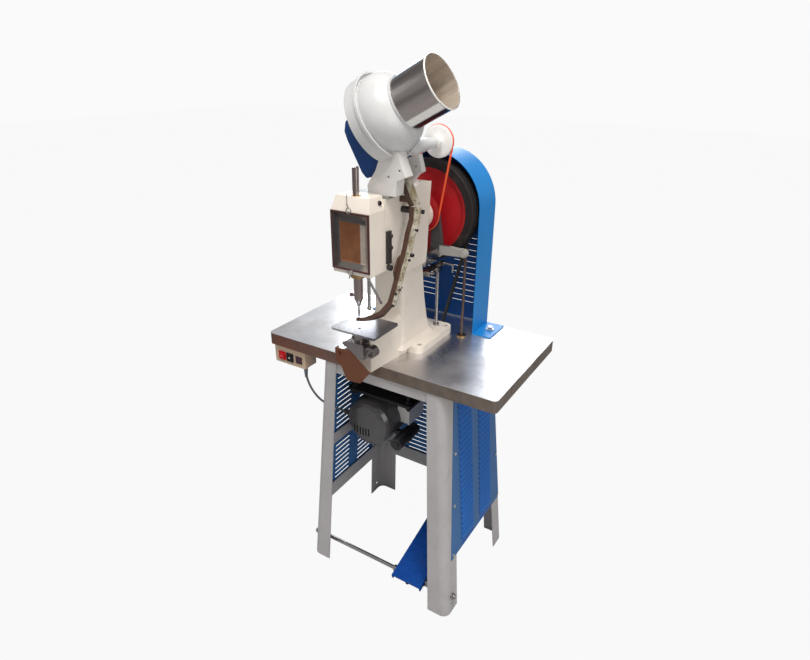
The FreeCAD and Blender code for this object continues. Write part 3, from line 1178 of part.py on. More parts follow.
def rotor_underside():
    """Height in the hopper's frame at which the rotor just clears the drive roller."""
    angle = math.radians(HOPPER_TILT)
    axis_height = ((DRIVE_X - HOPPER_CENTRE.x) * math.sin(angle)
                   + (DRIVE_Z - HOPPER_CENTRE.z) * math.cos(angle))
    return axis_height + ROLLER_R + GAP


def free_corners(shape, radius):
    """Rounds the edges across the gear cover, apart from those that meet the housing."""
    edges = [edge for edge in shape.Edges
             if edge.CenterOfMass.z < HOUSING_BACK - 10 and abs(edge.CenterOfMass.y) < 1
             and 0.01 < radius < edge.Length]
    return shape.makeFillet(radius, edges)


def build_hopper():
    """Housing with its drive bearing, lid, drum, rotor, gear cover and bracket."""
    lid_outer = hopper_frame(lid_body(0, HOUSING_FRONT))
    envelope = hopper_frame(Part.makeCylinder(HOUSING_R, HOUSING_FRONT - HOUSING_BACK,
                                              V(0, 0, HOUSING_BACK)))
    inner = HOUSING_R - HOUSING_WALL
    bore = ROTOR_SHAFT_R + RUN_FIT
    dish = turned([(bore, HOUSING_BACK - 12), (18, HOUSING_BACK - 12), (20, HOUSING_BACK),
                   (HOUSING_R, HOUSING_BACK), (HOUSING_R, HOUSING_FRONT), (inner, HOUSING_FRONT),
                   (inner, HOUSING_BACK + HOUSING_WALL), (bore, HOUSING_BACK + HOUSING_WALL)])
    cone = turned_y(DRIVE_X, DRIVE_Z, [(0, -76), (14.5, -76), (14.5, -62), (21, -36), (17, 10),
                                       (13, 52), (12, DRIVE_NOSE_Y), (0, DRIVE_NOSE_Y)])
    drive_bore = rod_y(DRIVE_X, DRIVE_Z, -80, DRIVE_NOSE_Y + 1, DRIVE_R + RUN_FIT)
    housing = fuse(hopper_frame(dish), cut(cone, lid_outer, envelope))
    save("hopper_housing", cut(housing, drive_bore))
    lid = cut(lid_body(0, HOUSING_FRONT), lid_body(LID_WALL, HOUSING_FRONT - 1),
              Part.makeCylinder(DRUM_R + SEAT_FIT, 40, V(0, 0, LID_TOP - 20)))
    save("hopper_lid", hopper_frame(lid))
    drum = fuse(turned([(DRUM_R - DRUM_WALL, LID_TOP - 12), (DRUM_R, LID_TOP - 12),
                        (DRUM_R, DRUM_MOUTH), (DRUM_R - DRUM_WALL, DRUM_MOUTH)]),
                Part.makeTorus(DRUM_R + 0.6, 1.9, V(0, 0, DRUM_MOUTH), V(0, 0, 1)))
    save("hopper_drum", hopper_frame(drum))
    under = rotor_underside()
    face = under + ROTOR_DISC
    rotor = turned([(0, HOUSING_BACK - 30), (ROTOR_SHAFT_R, HOUSING_BACK - 30),
                    (ROTOR_SHAFT_R, HOUSING_BACK - 28), (24, HOUSING_BACK - 28),
                    (24, HOUSING_BACK - 16), (ROTOR_SHAFT_R, HOUSING_BACK - 16),
                    (ROTOR_SHAFT_R, under - 10), (ROTOR_R - 26, under - 10), (ROTOR_R - 26, under),
                    (ROTOR_R, under), (ROTOR_R, face), (20, face + 2), (16, face + 8),
                    (0, face + 11)])
    save("hopper_rotor", hopper_frame(rotor))
    shaft_end = CORD_BELT_Y + CORD_PULLEY_WIDTH / 2
    c0 = CORD_BELT_Y - CORD_PULLEY_WIDTH / 2
    rim = HOPPER_PULLEY_R + 1
    shaft = turned_y(DRIVE_X, DRIVE_Z, [
        (0, ROLLER_Y), (ROLLER_R, ROLLER_Y), (ROLLER_R, ROLLER_Y + ROLLER_WIDTH),
        (DRIVE_R, ROLLER_Y + ROLLER_WIDTH),
        (DRIVE_R, DRIVE_NOSE_Y + GAP), (15, DRIVE_NOSE_Y + GAP), (15, c0 - 4), (rim - 6, c0 - 2),
        (rim, c0), (rim, shaft_end), (12, shaft_end), (10, shaft_end + 5), (0, shaft_end + 5)])
    save("hopper_pulley", cut(shaft, cord_groove(DRIVE_X, DRIVE_Z, HOPPER_PULLEY_R)))
    outline = [(-30, HOUSING_BACK), (-30, -55), (-12, -69), (8, -71), (88, -69), (105, -63),
               (108, -22), (90, HOUSING_BACK)]
    inner_outline = [(-28, HOUSING_BACK + 1), (-28, -54), (-11.4, -67), (8, -69), (87.8, -67),
                     (103.2, -61.6), (106, -22.5), (88, HOUSING_BACK + 1)]
    outer_cover = free_corners(prism([V(d, -30, a) for d, a in outline], V(0, 60, 0)),
                               COVER_CORNER_R)
    inner_cover = free_corners(prism([V(d, -28, a) for d, a in inner_outline], V(0, 56, 0)),
                               COVER_CORNER_R - 2)
    save("gear_cover", hopper_frame(cut(outer_cover, inner_cover)))
    arm, floor = ARM_TOP_Z, ARM_TOP_Z + BRACKET_BASE
    base = box(-45, 58, HOPPER_Y - 45, HOPPER_Y + 31, arm, floor)
    front = [(-2, floor), (74, floor), (77, arm + 42), (84, arm + 44), (100, arm + 52),
             (88, arm + 79), (78, arm + 104), (40, arm + 112), (20, arm + 60), (-2, arm + 27)]
    rear = [(28, arm + 43), (40, floor + 6), (66, arm + 20), (87, arm + 46), (101, arm + 54),
            (90, arm + 92), (65, arm + 84), (42, arm + 63), (34, arm + 49)]
    bridge = [(-2, floor), (44, floor), (44, arm + 60), (30, arm + 60), (14, arm + 37),
              (-2, arm + 27)]
    bracket = fuse(base, prism_xz(front, HOPPER_Y - 38, HOPPER_Y - 4),
                   prism_xz(rear, HOPPER_Y + 33, HOPPER_Y + 51),
                   prism_xz(bridge, HOPPER_Y - 38, HOPPER_Y + 51))
    holes = [rod_y(x, arm + z, HOPPER_Y - 47, HOPPER_Y + 63, LUG_HOLE_R)
             for x, z in ((55, 49), (84, 65))]
    save("hopper_bracket", cut(bracket, envelope, lid_outer, hopper_frame(outer_cover), *holes))


# ---- raceway ----------------------------------------------------------------
def strip_along(points, sizes, beside=0.0, ahead=0.0):
    """A bar along a route, with its (width, depth) at each point. Beside is the width of the bar
    that it lies to the right of, and ahead moves it towards the operator."""
    wires = []
    for index, point in enumerate(points):
        before = points[max(index - 1, 0)]
        after = points[min(index + 1, len(points) - 1)]
        along = (after - before).normalize()
        side = (V(1, 0, 0) - along * along.x).normalize()
        deep = along.cross(side)
        width, depth = sizes[index]
        centre = point + deep * ahead
        if beside:
            centre = centre + side * ((beside + width) / 2)
        corners = [centre + side * (sx * width / 2) + deep * (sy * depth / 2)
                   for sx, sy in ((-1, -1), (1, -1), (1, 1), (-1, 1))]
        wires.append(Part.makePolygon(corners + [corners[0]]))
    return Part.makeLoft(wires, True, True)


def perforated_strip(points, widths):
    """The thin strip beside the rail, with a row of holes down its middle."""
    ahead = RACE_DEPTH / 2 - STRIP_RECESS - STRIP_SHEET / 2
    strip = strip_along(points, [(w, STRIP_SHEET) for w in widths], RACE_WIDTH, ahead)
    holes = []
    for k in range(len(points) - 1):
        run = points[k + 1] - points[k]
        side = (V(1, 0, 0) - run * (run.x / run.dot(run))).normalize()
        deep = V(run).normalize().cross(side)
        count = max(int(run.Length / 13), 1)
        for index in range(count):
            share = (index + 0.5) / count
            width = widths[k] + (widths[k + 1] - widths[k]) * share
            spot = points[k] + run * share + side * ((RACE_WIDTH + width) / 2)
            holes.append(rod(spot - deep * 4, deep, STRIP_HOLE_R, 20))
    return cut(strip, *holes)


def build_raceway():
    """The chute for the eyelets: a fixed top length and a swinging lower length."""
    pivot = V(RACE_PIVOT_X, RACE_PIVOT_Y, RACE_PIVOT_Z)
    upper = [pivot + V(-27.5, -18, 110), pivot + V(-18, -14, 70), pivot + V(-7, -7, 35),
             pivot + V(0, -1, 13)]
    stay = box(BODY_HALF_WIDTH, pivot.x - 4, pivot.y - 13, pivot.y, pivot.z + 20, pivot.z + 32)
    housing = hopper_frame(Part.makeCylinder(HOUSING_R, 2 * HOUSING_FRONT, V(0, 0, HOUSING_BACK)))
    lid = hopper_frame(lid_body(0, HOUSING_FRONT))
    rail = strip_along(upper, [(RACE_WIDTH, RACE_DEPTH)] * 4)
    save("raceway_upper", cut(fuse(rail, stay), housing, lid))
    punch = V(0, RAM_Y, PLATE_TOP_Z)
    lower = [pivot + V(0, 0, 8), pivot + V(2, -4.5, -20), pivot + V(-3.5, -13, -55),
             pivot + V(-4, -24, -89), pivot + V(-9.3, -40.5, -136), pivot + V(-13, -57, -182),
             pivot + V(-17, -70, -217), punch + V(50, 25.5, 42), punch + V(30, 16, 31),
             punch + V(12, 6.5, 25.5), punch + V(-6, -4, 25)]
    sizes = [(RACE_WIDTH, RACE_DEPTH)] * 7 + [(RACE_WIDTH, 14), (11, 10), (9, 6), (9, 5)]
    body = strip_along(lower, sizes)
    ear = [(-34, -104), (-45, -108), (-63, -137), (-58, -160), (-46, -167), (-36, -152)]
    plate = prism_yz([(pivot.y + y, pivot.z + z) for y, z in ear], pivot.x - 16, pivot.x - 11)
    bore = rod_x(RACE_PIVOT_Y, RACE_PIVOT_Z, 60, 120, RACE_PIN_R + RUN_FIT)
    slot = fuse(rod_z(0, RAM_Y, PLATE_TOP_Z + 12, PLATE_TOP_Z + 37, PUNCH_R + 0.9),
                prism([punch + V(-2, 3, 12), punch + V(2, -3, 12), punch + V(-16, -18, 12),
                       punch + V(-20, -12, 12)], V(0, 0, 25)))
    save("raceway_lower", cut(fuse(body, plate), bore, slot))
    low_widths = [STRIP_TOP_WIDTH, 16, 15, 13, 11, 11, STRIP_END_WIDTH]
    save("raceway_strip", cut(perforated_strip(lower[:7], low_widths), bore))
    high = perforated_strip([upper[0] + V(2, 1, -8)] + upper[1:], [STRIP_TOP_WIDTH] * 4)
    save("raceway_top_strip", cut(high, housing, lid, rail))
    mid, low = pivot.y - 65, ARM_UNDER_Z + 17
    wall = BODY_HALF_WIDTH
    bar = box(wall, wall + 8, mid - 7, mid + 7, low, low + 79)
    bolts = [rod_x(mid, low + z, wall + 8, wall + 13, 5) for z in (68, 40)]
    knob = fuse(rod_x(mid, low - 10, wall, wall + 12, 4),
                rod_x(mid, low - 10, wall + 4, wall + 12, 7))
    strip_edge = pivot.x + RACE_WIDTH / 2 + STRIP_TOP_WIDTH
    pin = fuse(rod_x(pivot.y, pivot.z, wall, strip_edge + 4, RACE_PIN_R),
               rod_x(pivot.y, pivot.z, wall, pivot.x - RACE_WIDTH / 2 - 0.6, 8),
               rod_x(pivot.y, pivot.z, strip_edge + 0.6, strip_edge + 4, 5.5))
    save("raceway_bracket", fuse(bar, *bolts), knob, pin)


# ---- belt guard -------------------------------------------------------------
def arch_wire(half, foot_z, y):
    """An upright arch with straight sides."""
    a, b = V(-half, y, foot_z), V(-half, y, GUARD_Z)
    c, d = V(half, y, GUARD_Z), V(half, y, foot_z)
    return [Part.makeLine(a, b), Part.Arc(b, V(0, y, GUARD_Z + half), c).toShape(),
            Part.makeLine(c, d)]


def build_guard():
    """The arched band with its feet, and the louvred back plate."""
    y = GUARD_FRONT_Y
    outer, inner = GUARD_R, GUARD_R - GUARD_SHEET
    foot = TABLE_TOP_Z
    step = GUARD_FOOT_SHEET
    edges = arch_wire(outer, foot + step, y) + [
        Part.makeLine(V(outer, y, foot + step), V(outer + GUARD_FOOT, y, foot + step)),
        Part.makeLine(V(outer + GUARD_FOOT, y, foot + step), V(outer + GUARD_FOOT, y, foot)),
        Part.makeLine(V(outer + GUARD_FOOT, y, foot), V(inner, y, foot))]
    edges += arch_wire(inner, foot, y)
    edges += [Part.makeLine(V(-inner, y, foot), V(-outer - GUARD_FOOT, y, foot)),
              Part.makeLine(V(-outer - GUARD_FOOT, y, foot), V(-outer - GUARD_FOOT, y, foot + step)),
              Part.makeLine(V(-outer - GUARD_FOOT, y, foot + step), V(-outer, y, foot + step))]
    wire = Part.Wire(Part.__sortEdges__(edges))
    band = Part.Face(wire).extrude(V(0, GUARD_REAR_Y - GUARD_FRONT_Y, 0))
    holes = [rod_z(s * GUARD_BOLT_X, GUARD_BOLT_Y, foot - 1, foot + step + 1, GUARD_HOLE_R)
             for s in (-1, 1)]
    save("belt_guard", cut(band, *holes))
    half = inner - SEAT_FIT
    low = foot + 4
    edges = [Part.makeLine(V(-half, low, 0), V(-half, GUARD_Z, 0)),
             Part.Arc(V(-half, GUARD_Z, 0), V(0, GUARD_Z + half, 0), V(half, GUARD_Z, 0)).toShape(),
             Part.makeLine(V(half, GUARD_Z, 0), V(half, low, 0)),
             Part.makeLine(V(half, low, 0), V(-half, low, 0))]
    face = Part.Face(Part.Wire(edges))
    sheet = louvred_sheet(face, [(-103, -29), (29, 103)], 806, 1024, PANEL_SHEET)
    plane = GUARD_REAR_Y - LOUVRE_REACH - 1.5
    save("belt_guard_back", placed_yz(sheet, V(0, plane, 0), V(-1, 0, 0), V(0, 0, 1)))


CASTING = frame_casting()
save("machine_frame", CASTING)
build_stand()
build_panels()
build_table()
build_pedal()
build_rod()
build_lever(CASTING)
build_bushes()
build_bolts()
build_shaft()
build_flywheel()
build_belts()
build_motor()
build_switch_box()
build_cord()
build_head()
build_clips()
build_ram()
build_work_place()
build_hopper()
build_raceway()
build_guard()
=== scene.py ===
# %% [markdown]
# # An eyelet machine on its floor stand
# A power press that sets metal eyelets: a hopper feeds them down a raceway, a ram flares them over
# a die, and a flywheel behind the column keeps the shaft going. It stands on four angle legs with
# a steel table, a motor below and a pedal. The rigid parts come from the CAD model; this script
# gives them their finishes, adds the small details and sets up the studio.

# %% The model and its box
import json
import math

import bpy
import numpy as np
from mathutils import Matrix, Vector


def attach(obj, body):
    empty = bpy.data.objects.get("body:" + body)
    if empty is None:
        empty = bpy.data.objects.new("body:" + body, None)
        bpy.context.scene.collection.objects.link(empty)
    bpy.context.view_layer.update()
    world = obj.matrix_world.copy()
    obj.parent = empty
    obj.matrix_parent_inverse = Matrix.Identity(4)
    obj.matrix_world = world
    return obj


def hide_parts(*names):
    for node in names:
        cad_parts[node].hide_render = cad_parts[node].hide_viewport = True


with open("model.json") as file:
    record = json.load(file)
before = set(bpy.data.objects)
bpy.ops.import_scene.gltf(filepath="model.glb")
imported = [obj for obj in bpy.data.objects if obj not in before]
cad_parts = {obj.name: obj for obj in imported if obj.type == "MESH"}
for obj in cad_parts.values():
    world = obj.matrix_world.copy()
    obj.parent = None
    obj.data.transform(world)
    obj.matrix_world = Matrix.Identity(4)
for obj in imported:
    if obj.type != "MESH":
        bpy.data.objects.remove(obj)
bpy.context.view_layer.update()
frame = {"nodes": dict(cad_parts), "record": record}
MM = 0.001

# %% [markdown]
# ## The camera
# A camera's matrix holds three directions: right, up and back. They follow from its compass angle,
# its height angle and a small roll. The lens is given in pixels of an image 810 wide, and turns
# into millimetres through the sensor's width.

# %% Camera
IMAGE_WIDTH = 810
SENSOR = 36.0
LENS_PIXELS = 594.5
CAMERA_PLACE = Vector((794.6, -1292.8, 1486.3)) * MM
AZIMUTH, ELEVATION, ROLL = (math.radians(a) for a in (31.447, 24.903, 0.54))

back = Vector((math.sin(AZIMUTH) * math.cos(ELEVATION),
               -math.cos(AZIMUTH) * math.cos(ELEVATION), math.sin(ELEVATION)))
level = Vector((math.cos(AZIMUTH), math.sin(AZIMUTH), 0))
upward = back.cross(level)
right = math.cos(ROLL) * level + math.sin(ROLL) * upward
up = -math.sin(ROLL) * level + math.cos(ROLL) * upward

lens = bpy.data.cameras.new("camera")
lens.sensor_width = SENSOR
lens.lens = LENS_PIXELS / IMAGE_WIDTH * SENSOR
camera = bpy.data.objects.new("camera", lens)
bpy.context.scene.collection.objects.link(camera)
camera.matrix_world = Matrix((right, up, back)).transposed().to_4x4()
camera.location = CAMERA_PLACE
bpy.context.scene.camera = camera
print("lens %.2f mm" % lens.lens)

# %% [markdown]
# ## The motor lead
# The lead leaves the switch box straight down, hangs in a loose curve under the table and goes
# through the left panel to the motor. A NURBS spline takes the route's points as its control
# points, so that the cord bends smoothly; order 3 with its end points kept gives that line.

# %% Motor lead
LEAD_DIAMETER = 0.0065
LEAD_ROUTE = [(-0.257, -0.131, 0.645), (-0.257, -0.131, 0.622), (-0.252, -0.129, 0.597),
              (-0.243, -0.123, 0.569), (-0.228, -0.114, 0.542), (-0.208, -0.102, 0.522),
              (-0.189, -0.0945, 0.513), (-0.168, -0.086, 0.508), (-0.150, -0.086, 0.508)]

line = bpy.data.curves.new("motor_lead", "CURVE")
line.dimensions = "3D"
line.bevel_depth = LEAD_DIAMETER / 2
line.bevel_resolution = 6
line.resolution_u = 12
line.use_fill_caps = True
spline = line.splines.new("NURBS")
spline.points.add(len(LEAD_ROUTE) - 1)
spline.points.foreach_set("co", np.hstack([LEAD_ROUTE, np.ones((len(LEAD_ROUTE), 1))]).ravel())
spline.order_u = 3
spline.use_endpoint_u = True
motor_lead = bpy.data.objects.new("motor_lead", line)
bpy.context.scene.collection.objects.link(motor_lead)
print("lead of", len(LEAD_ROUTE), "points")

# %% [markdown]
# ## Meshes from numbers
# Every added piece is a surface worked out as one numpy array of shape rows x columns x 3. Faces
# join each point with its neighbours, found by index arithmetic. A round piece wraps its columns. A
# profile that starts and finishes on the axis closes both ends, and one that comes back to its
# first point makes a ring.

# %% Surfaces
def surface(name, points, wrap_rows=False, wrap_columns=True, smooth=50):
    """A mesh object from a grid of points; wrapping joins the last row or column to the first."""
    rows, columns = points.shape[:2]
    r, c = np.meshgrid(np.arange(rows - (not wrap_rows)), np.arange(columns - (not wrap_columns)),
                       indexing="ij")
    r2, c2 = (r + 1) % rows, (c + 1) % columns
    faces = np.stack([r * columns + c, r2 * columns + c, r2 * columns + c2, r * columns + c2], -1)
    return mesh_object(name, points.reshape(-1, 3), faces.reshape(-1, 4), smooth)


def mesh_object(name, vertices, faces, smooth):
    """A linked object whose doubled points are merged and whose faces point outwards."""
    mesh = bpy.data.meshes.new(name)
    mesh.from_pydata(vertices.tolist(), [], faces.tolist())
    obj = bpy.data.objects.new(name, mesh)
    bpy.context.scene.collection.objects.link(obj)
    bpy.ops.object.select_all(action="DESELECT")
    obj.select_set(True)
    bpy.context.view_layer.objects.active = obj
    bpy.ops.object.mode_set(mode="EDIT")
    bpy.ops.mesh.select_all(action="SELECT")
    bpy.ops.mesh.remove_doubles(threshold=1e-6)
    bpy.ops.mesh.normals_make_consistent(inside=False)
    bpy.ops.object.mode_set(mode="OBJECT")
    bpy.ops.object.shade_smooth_by_angle(angle=math.radians(smooth))
    return obj


def axes_about(direction):
    """Two unit vectors square to a direction and to each other."""
    along = np.array(direction, float)
    along /= np.linalg.norm(along)
    helper = np.array([0, 0, 1.0]) if abs(along[2]) < 0.9 else np.array([1.0, 0, 0])
    first = np.cross(helper, along)
    first /= np.linalg.norm(first)
    return along, first, np.cross(along, first)


def turned(centre, direction, profile, sides=24):
    """A profile of (radius, height) in millimetres turned about an axis through a centre."""
    along, first, second = axes_about(direction)
    radius, height = np.array(profile, float).T
    angle = np.linspace(0, 2 * np.pi, sides, endpoint=False)
    ring = np.cos(angle)[:, None] * first + np.sin(angle)[:, None] * second
    points = radius[:, None, None] * ring[None] + height[:, None, None] * along
    return (points + np.array(centre, float)) * MM


def joined(name, parts):
    """Several objects made one piece."""
    bpy.ops.object.select_all(action="DESELECT")
    for part in parts:
        part.select_set(True)
    bpy.context.view_layer.objects.active = parts[0]
    bpy.ops.object.join()
    parts[0].name = parts[0].data.name = name
    return parts[0]

# %% [markdown]
# ## Shader maths as Python
# A `Signal` is one output socket. Adding, subtracting or multiplying signals adds the Math nodes,
# so a recipe reads like a formula. A `Finish` owns a material; its `node` method makes any other
# node, with its settings first and the values or links of its sockets after that.

# %% Signal and Finish
class Signal:
    """One output socket on which Python's operators work."""

    def __init__(self, tree, socket):
        self.tree, self.socket = tree, socket

    def maths(self, operation, *values, clamp=False):
        node = self.tree.nodes.new("ShaderNodeMath")
        node.operation, node.use_clamp = operation, clamp
        for slot, value in zip(node.inputs, values):
            feed(self.tree, slot, value)
        return Signal(self.tree, node.outputs[0])

    def __add__(self, other):
        return self.maths("ADD", self, other)

    def __sub__(self, other):
        return self.maths("SUBTRACT", self, other)

    def __rsub__(self, other):
        return self.maths("SUBTRACT", other, self)

    def __mul__(self, other):
        return self.maths("MULTIPLY", self, other)

    def __truediv__(self, other):
        return self.maths("DIVIDE", self, other)

    def __pow__(self, other):
        return self.maths("POWER", self, other)

    def __gt__(self, other):
        return self.maths("GREATER_THAN", self, other)

    def between(self, low, high):
        """0 below low, 1 above high and a straight rise between them."""
        return self.maths("MULTIPLY_ADD", self, 1 / (high - low), -low / (high - low), clamp=True)

    def absolute(self):
        return self.maths("ABSOLUTE", self)

    def or_larger(self, other):
        return self.maths("MAXIMUM", self, other)

    __radd__, __rmul__ = __add__, __mul__


def feed(tree, slot, value):
    """Links a signal to a socket, or sets the socket's own value."""
    if isinstance(value, Signal):
        tree.links.new(value.socket, slot)
    elif hasattr(value, "__len__") and len(value) == 3 and slot.type == "RGBA":
        slot.default_value = (*value, 1)
    else:
        slot.default_value = value


class Finish:
    """A material that is being made, with short ways to its usual textures."""

    def __init__(self, name, **constants):
        self.material = bpy.data.materials.new(name)
        self.material.use_nodes = True
        self.tree = self.material.node_tree
        self.shader = self.tree.nodes["Principled BSDF"]
        self.place = self.node("TexCoord", {}, {}, "Object")
        self.set(**constants)

    def node(self, kind, settings, sockets, out=0):
        """One more node; returns the signal of one of its outputs."""
        node = self.tree.nodes.new("ShaderNode" + kind)
        for key, value in settings.items():
            setattr(node, key, value)
        for key, value in sockets.items():
            feed(self.tree, node.inputs[key], value)
        return Signal(self.tree, node.outputs[out])

    def set(self, **sockets):
        """Feeds the shader's own sockets, with underscores for the spaces in their names."""
        for key, value in sockets.items():
            feed(self.tree, self.shader.inputs[key.replace("_", " ")], value)

    def mix(self, share, first, second):
        """A colour between two colours."""
        return self.node("Mix", {"data_type": "RGBA"}, {0: share, 6: first, 7: second}, 2)

    def squeezed(self, scale):
        """The coordinates at another scale along each axis."""
        return self.node("Mapping", {}, {"Vector": self.place, "Scale": scale})

    def noise(self, scale, detail=3.0, place=None, rough=0.55):
        return self.node("TexNoise", {}, {"Vector": place or self.place, "Scale": scale,
                                          "Detail": detail, "Roughness": rough})

    def axes(self, place=None):
        """The three coordinates as signals."""
        split = self.tree.nodes.new("ShaderNodeSeparateXYZ")
        feed(self.tree, split.inputs[0], place or self.place)
        return [Signal(self.tree, socket) for socket in split.outputs]

    def relief(self, height, depth, rounding=0.0):
        """A bump of a depth in metres, over edges that are rounded by a radius in metres."""
        sockets = {"Height": height, "Distance": depth, "Strength": 1.0}
        if rounding:
            sockets["Normal"] = self.node("Bevel", {"samples": 4}, {"Radius": rounding})
        self.set(Normal=self.node("Bump", {}, sockets))

# %% [markdown]
# ## Paint
# Machine paint is sprayed thick: it flows into a fine orange peel, covers the rough skin of a
# casting, and picks up a film of oil and dust. Five noises make that: a slow one for the colour, a
# fine one for the peel, a coarser one for the casting's skin, and broken ones for the grime and the
# chips. Round edges matter most on painted castings, so a Bevel node rounds the normals of the
# sharp CAD edges.

# %% Paint recipe
DIRT = (0.16, 0.12, 0.09)
CHIPPED = (0.30, 0.27, 0.24)
PAINT_DEPTH = 0.0004


def painted(name, colour, gloss, cast=0.0, grime=0.25, rounding=0.0008, coat=0.0, chips=0.0,
            shine=0.5, regions=()):
    """Enamel: mottled colour, grime in patches, chips to bare metal, peel and casting skin.
    Other colours may cover regions, each with a function that returns its share."""
    f = Finish(name, Coat_Roughness=0.08, Coat_Weight=coat, Specular_IOR_Level=shine)
    slow = f.noise(7.0, 3.0)
    fine = f.noise(160.0, 2.0)
    soiled = f.noise(22.0, 8.0, rough=0.7).between(0.52, 0.80) * grime
    lighter = tuple(min(1.0, c * 1.04 + 0.002) for c in colour)
    darker = tuple(c * 0.94 for c in colour)
    base = f.mix(slow.between(0.32, 0.68), darker, lighter)
    for other, share_of in regions:
        base = f.mix(share_of(*f.axes()), base, other)
    base = f.mix(soiled, base, DIRT)
    rough = gloss + 0.16 * (slow - 0.5) + 0.3 * soiled + 0.05 * fine
    height = fine * 0.06 + f.noise(45.0, 3.0) * (0.5 * cast)
    if chips:
        bare = f.noise(70.0, 5.0, rough=0.8).between(0.735 - 0.06 * chips, 0.75 - 0.06 * chips)
        base = f.mix(bare, base, CHIPPED)
        rough = rough + 0.15 * bare
        height = height - 0.6 * bare
    f.set(Base_Color=base, Roughness=rough)
    f.relief(height, PAINT_DEPTH, rounding)
    return f.material

# %% [markdown]
# ## Bare metal
# Rolled sheet keeps fine lines along its length, turned rods have rings, and handled steel goes
# brown where fingers and oil reach. The lines are a noise squeezed hard across one direction. They
# go into roughness and bump, and only a little into colour, because bare metal shows them by its
# shine.

# %% Metal recipe
LINE_DEPTH = 0.00006
DULL_BRASS, RUBBED_BRASS = (0.34, 0.27, 0.15), (0.74, 0.70, 0.58)
OILED_BRASS = (0.085, 0.065, 0.050)


def bare_metal(name, colour, rough, lines, stain=0.25, stain_colour=(0.20, 0.14, 0.09),
               region=None):
    """Bare metal with lines along its grain, brown stains and, if asked, a region of another
    colour, given with a function that returns its share."""
    f = Finish(name, Metallic=1.0)
    grain = f.noise(1.0, 6.0, f.squeezed(lines), rough=0.65)
    blotch = f.noise(14.0, 6.0, rough=0.62)
    stained = blotch.between(0.50, 0.78) * stain
    base = f.mix(grain.between(0.3, 0.7), tuple(c * 0.86 for c in colour), colour)
    base = f.mix(stained, base, stain_colour)
    if region:
        base = f.mix(region[1](*f.axes()), base, region[0])
    f.set(Base_Color=base, Roughness=rough + 0.14 * (grain - 0.5) + 0.22 * stained)
    f.relief(grain, LINE_DEPTH)
    return f.material


def worn_brass(name):
    """Brass strip rubbed pale in places and darkened by oil round its holes."""
    f = Finish(name)
    rubbed = f.noise(38.0, 5.0, rough=0.6).between(0.40, 0.62)
    oiled = f.noise(95.0, 6.0, rough=0.7).between(0.50, 0.66)
    base = f.mix(rubbed, DULL_BRASS, RUBBED_BRASS)
    f.set(Base_Color=f.mix(oiled * 0.65, base, OILED_BRASS), Metallic=0.45,
          Roughness=0.30 + 0.15 * oiled)
    f.relief(oiled, depth=0.0001)
    return f.material

# %% [markdown]
# ## Rubber, plastic and board
# Moulded pieces have no grain. What tells them from paint is a faint pebble in the surface and a
# colour that hardly changes. Plywood shows long fibres, so its noise is stretched along one axis.

# %% Moulded and board recipes
DUST = (0.42, 0.40, 0.37)
PEBBLE_DEPTH = 0.00008
MOULD_ROUNDING = 0.0004
DARK_FIBRE, PALE_FIBRE, PLY_LINE = (0.30, 0.19, 0.10), (0.56, 0.40, 0.24), (0.22, 0.13, 0.07)


def moulded(name, colour, rough, dust=0.12, shine=0.4):
    """Plastic or rubber: even colour, fine pebble, a little dust."""
    f = Finish(name, Specular_IOR_Level=shine)
    dusty = f.noise(40.0, 5.0, rough=0.7).between(0.5, 0.8) * dust
    base = f.mix(f.noise(25.0), tuple(c * 0.9 for c in colour), tuple(c * 1.08 for c in colour))
    f.set(Base_Color=f.mix(dusty, base, DUST),
          Roughness=rough + 0.25 * dusty + 0.08 * (f.noise(120.0) - 0.5))
    f.relief(f.noise(300.0, 2.0), PEBBLE_DEPTH, MOULD_ROUNDING)
    return f.material


def plywood(name):
    """The raw underside and edges of the table board: fibres and thin plies."""
    f = Finish(name)
    fibre = f.noise(1.0, 8.0, f.squeezed((6, 160, 160)), rough=0.7)
    ply = f.node("TexWave", {"bands_direction": "Z"}, {"Vector": f.place, "Scale": 90.0,
                                                       "Distortion": 1.5, "Detail": 2.0})
    base = f.mix(fibre, DARK_FIBRE, PALE_FIBRE)
    f.set(Base_Color=f.mix(ply * 0.35, base, PLY_LINE), Roughness=0.6 + 0.2 * fibre)
    f.relief(fibre, depth=0.0003)
    return f.material

# %% [markdown]
# ## The table sheet
# The top is brushed stainless steel, grained along its length, and used: it has a haze of wear and
# a brown film near the front edge, where the operator's hands rest. The right end is rubbed dull,
# so it mirrors less. The folded edges are the darkest, because oil runs there and dries. Each pair
# of numbers is where a change begins and where it ends, in metres.

# %% Table steel
FILM_FORWARD, FILM_LEFT, FILM_RIGHT = (-0.06, -0.16), (-0.12, -0.02), (0.22, 0.08)
FOLDED_EDGE = (0.7492, 0.7484)
RUST_FADES = (-0.30, 0.10)
DULL_END = (0.10, 0.24)
SHEET_GREY, SHEET_WHITE, FILM = (0.70, 0.70, 0.72), (0.88, 0.88, 0.90), (0.30, 0.23, 0.18)
RED_RUST, PALE_RUST, DRIED_OIL = (0.27, 0.068, 0.024), (0.28, 0.215, 0.165), (0.07, 0.045, 0.035)


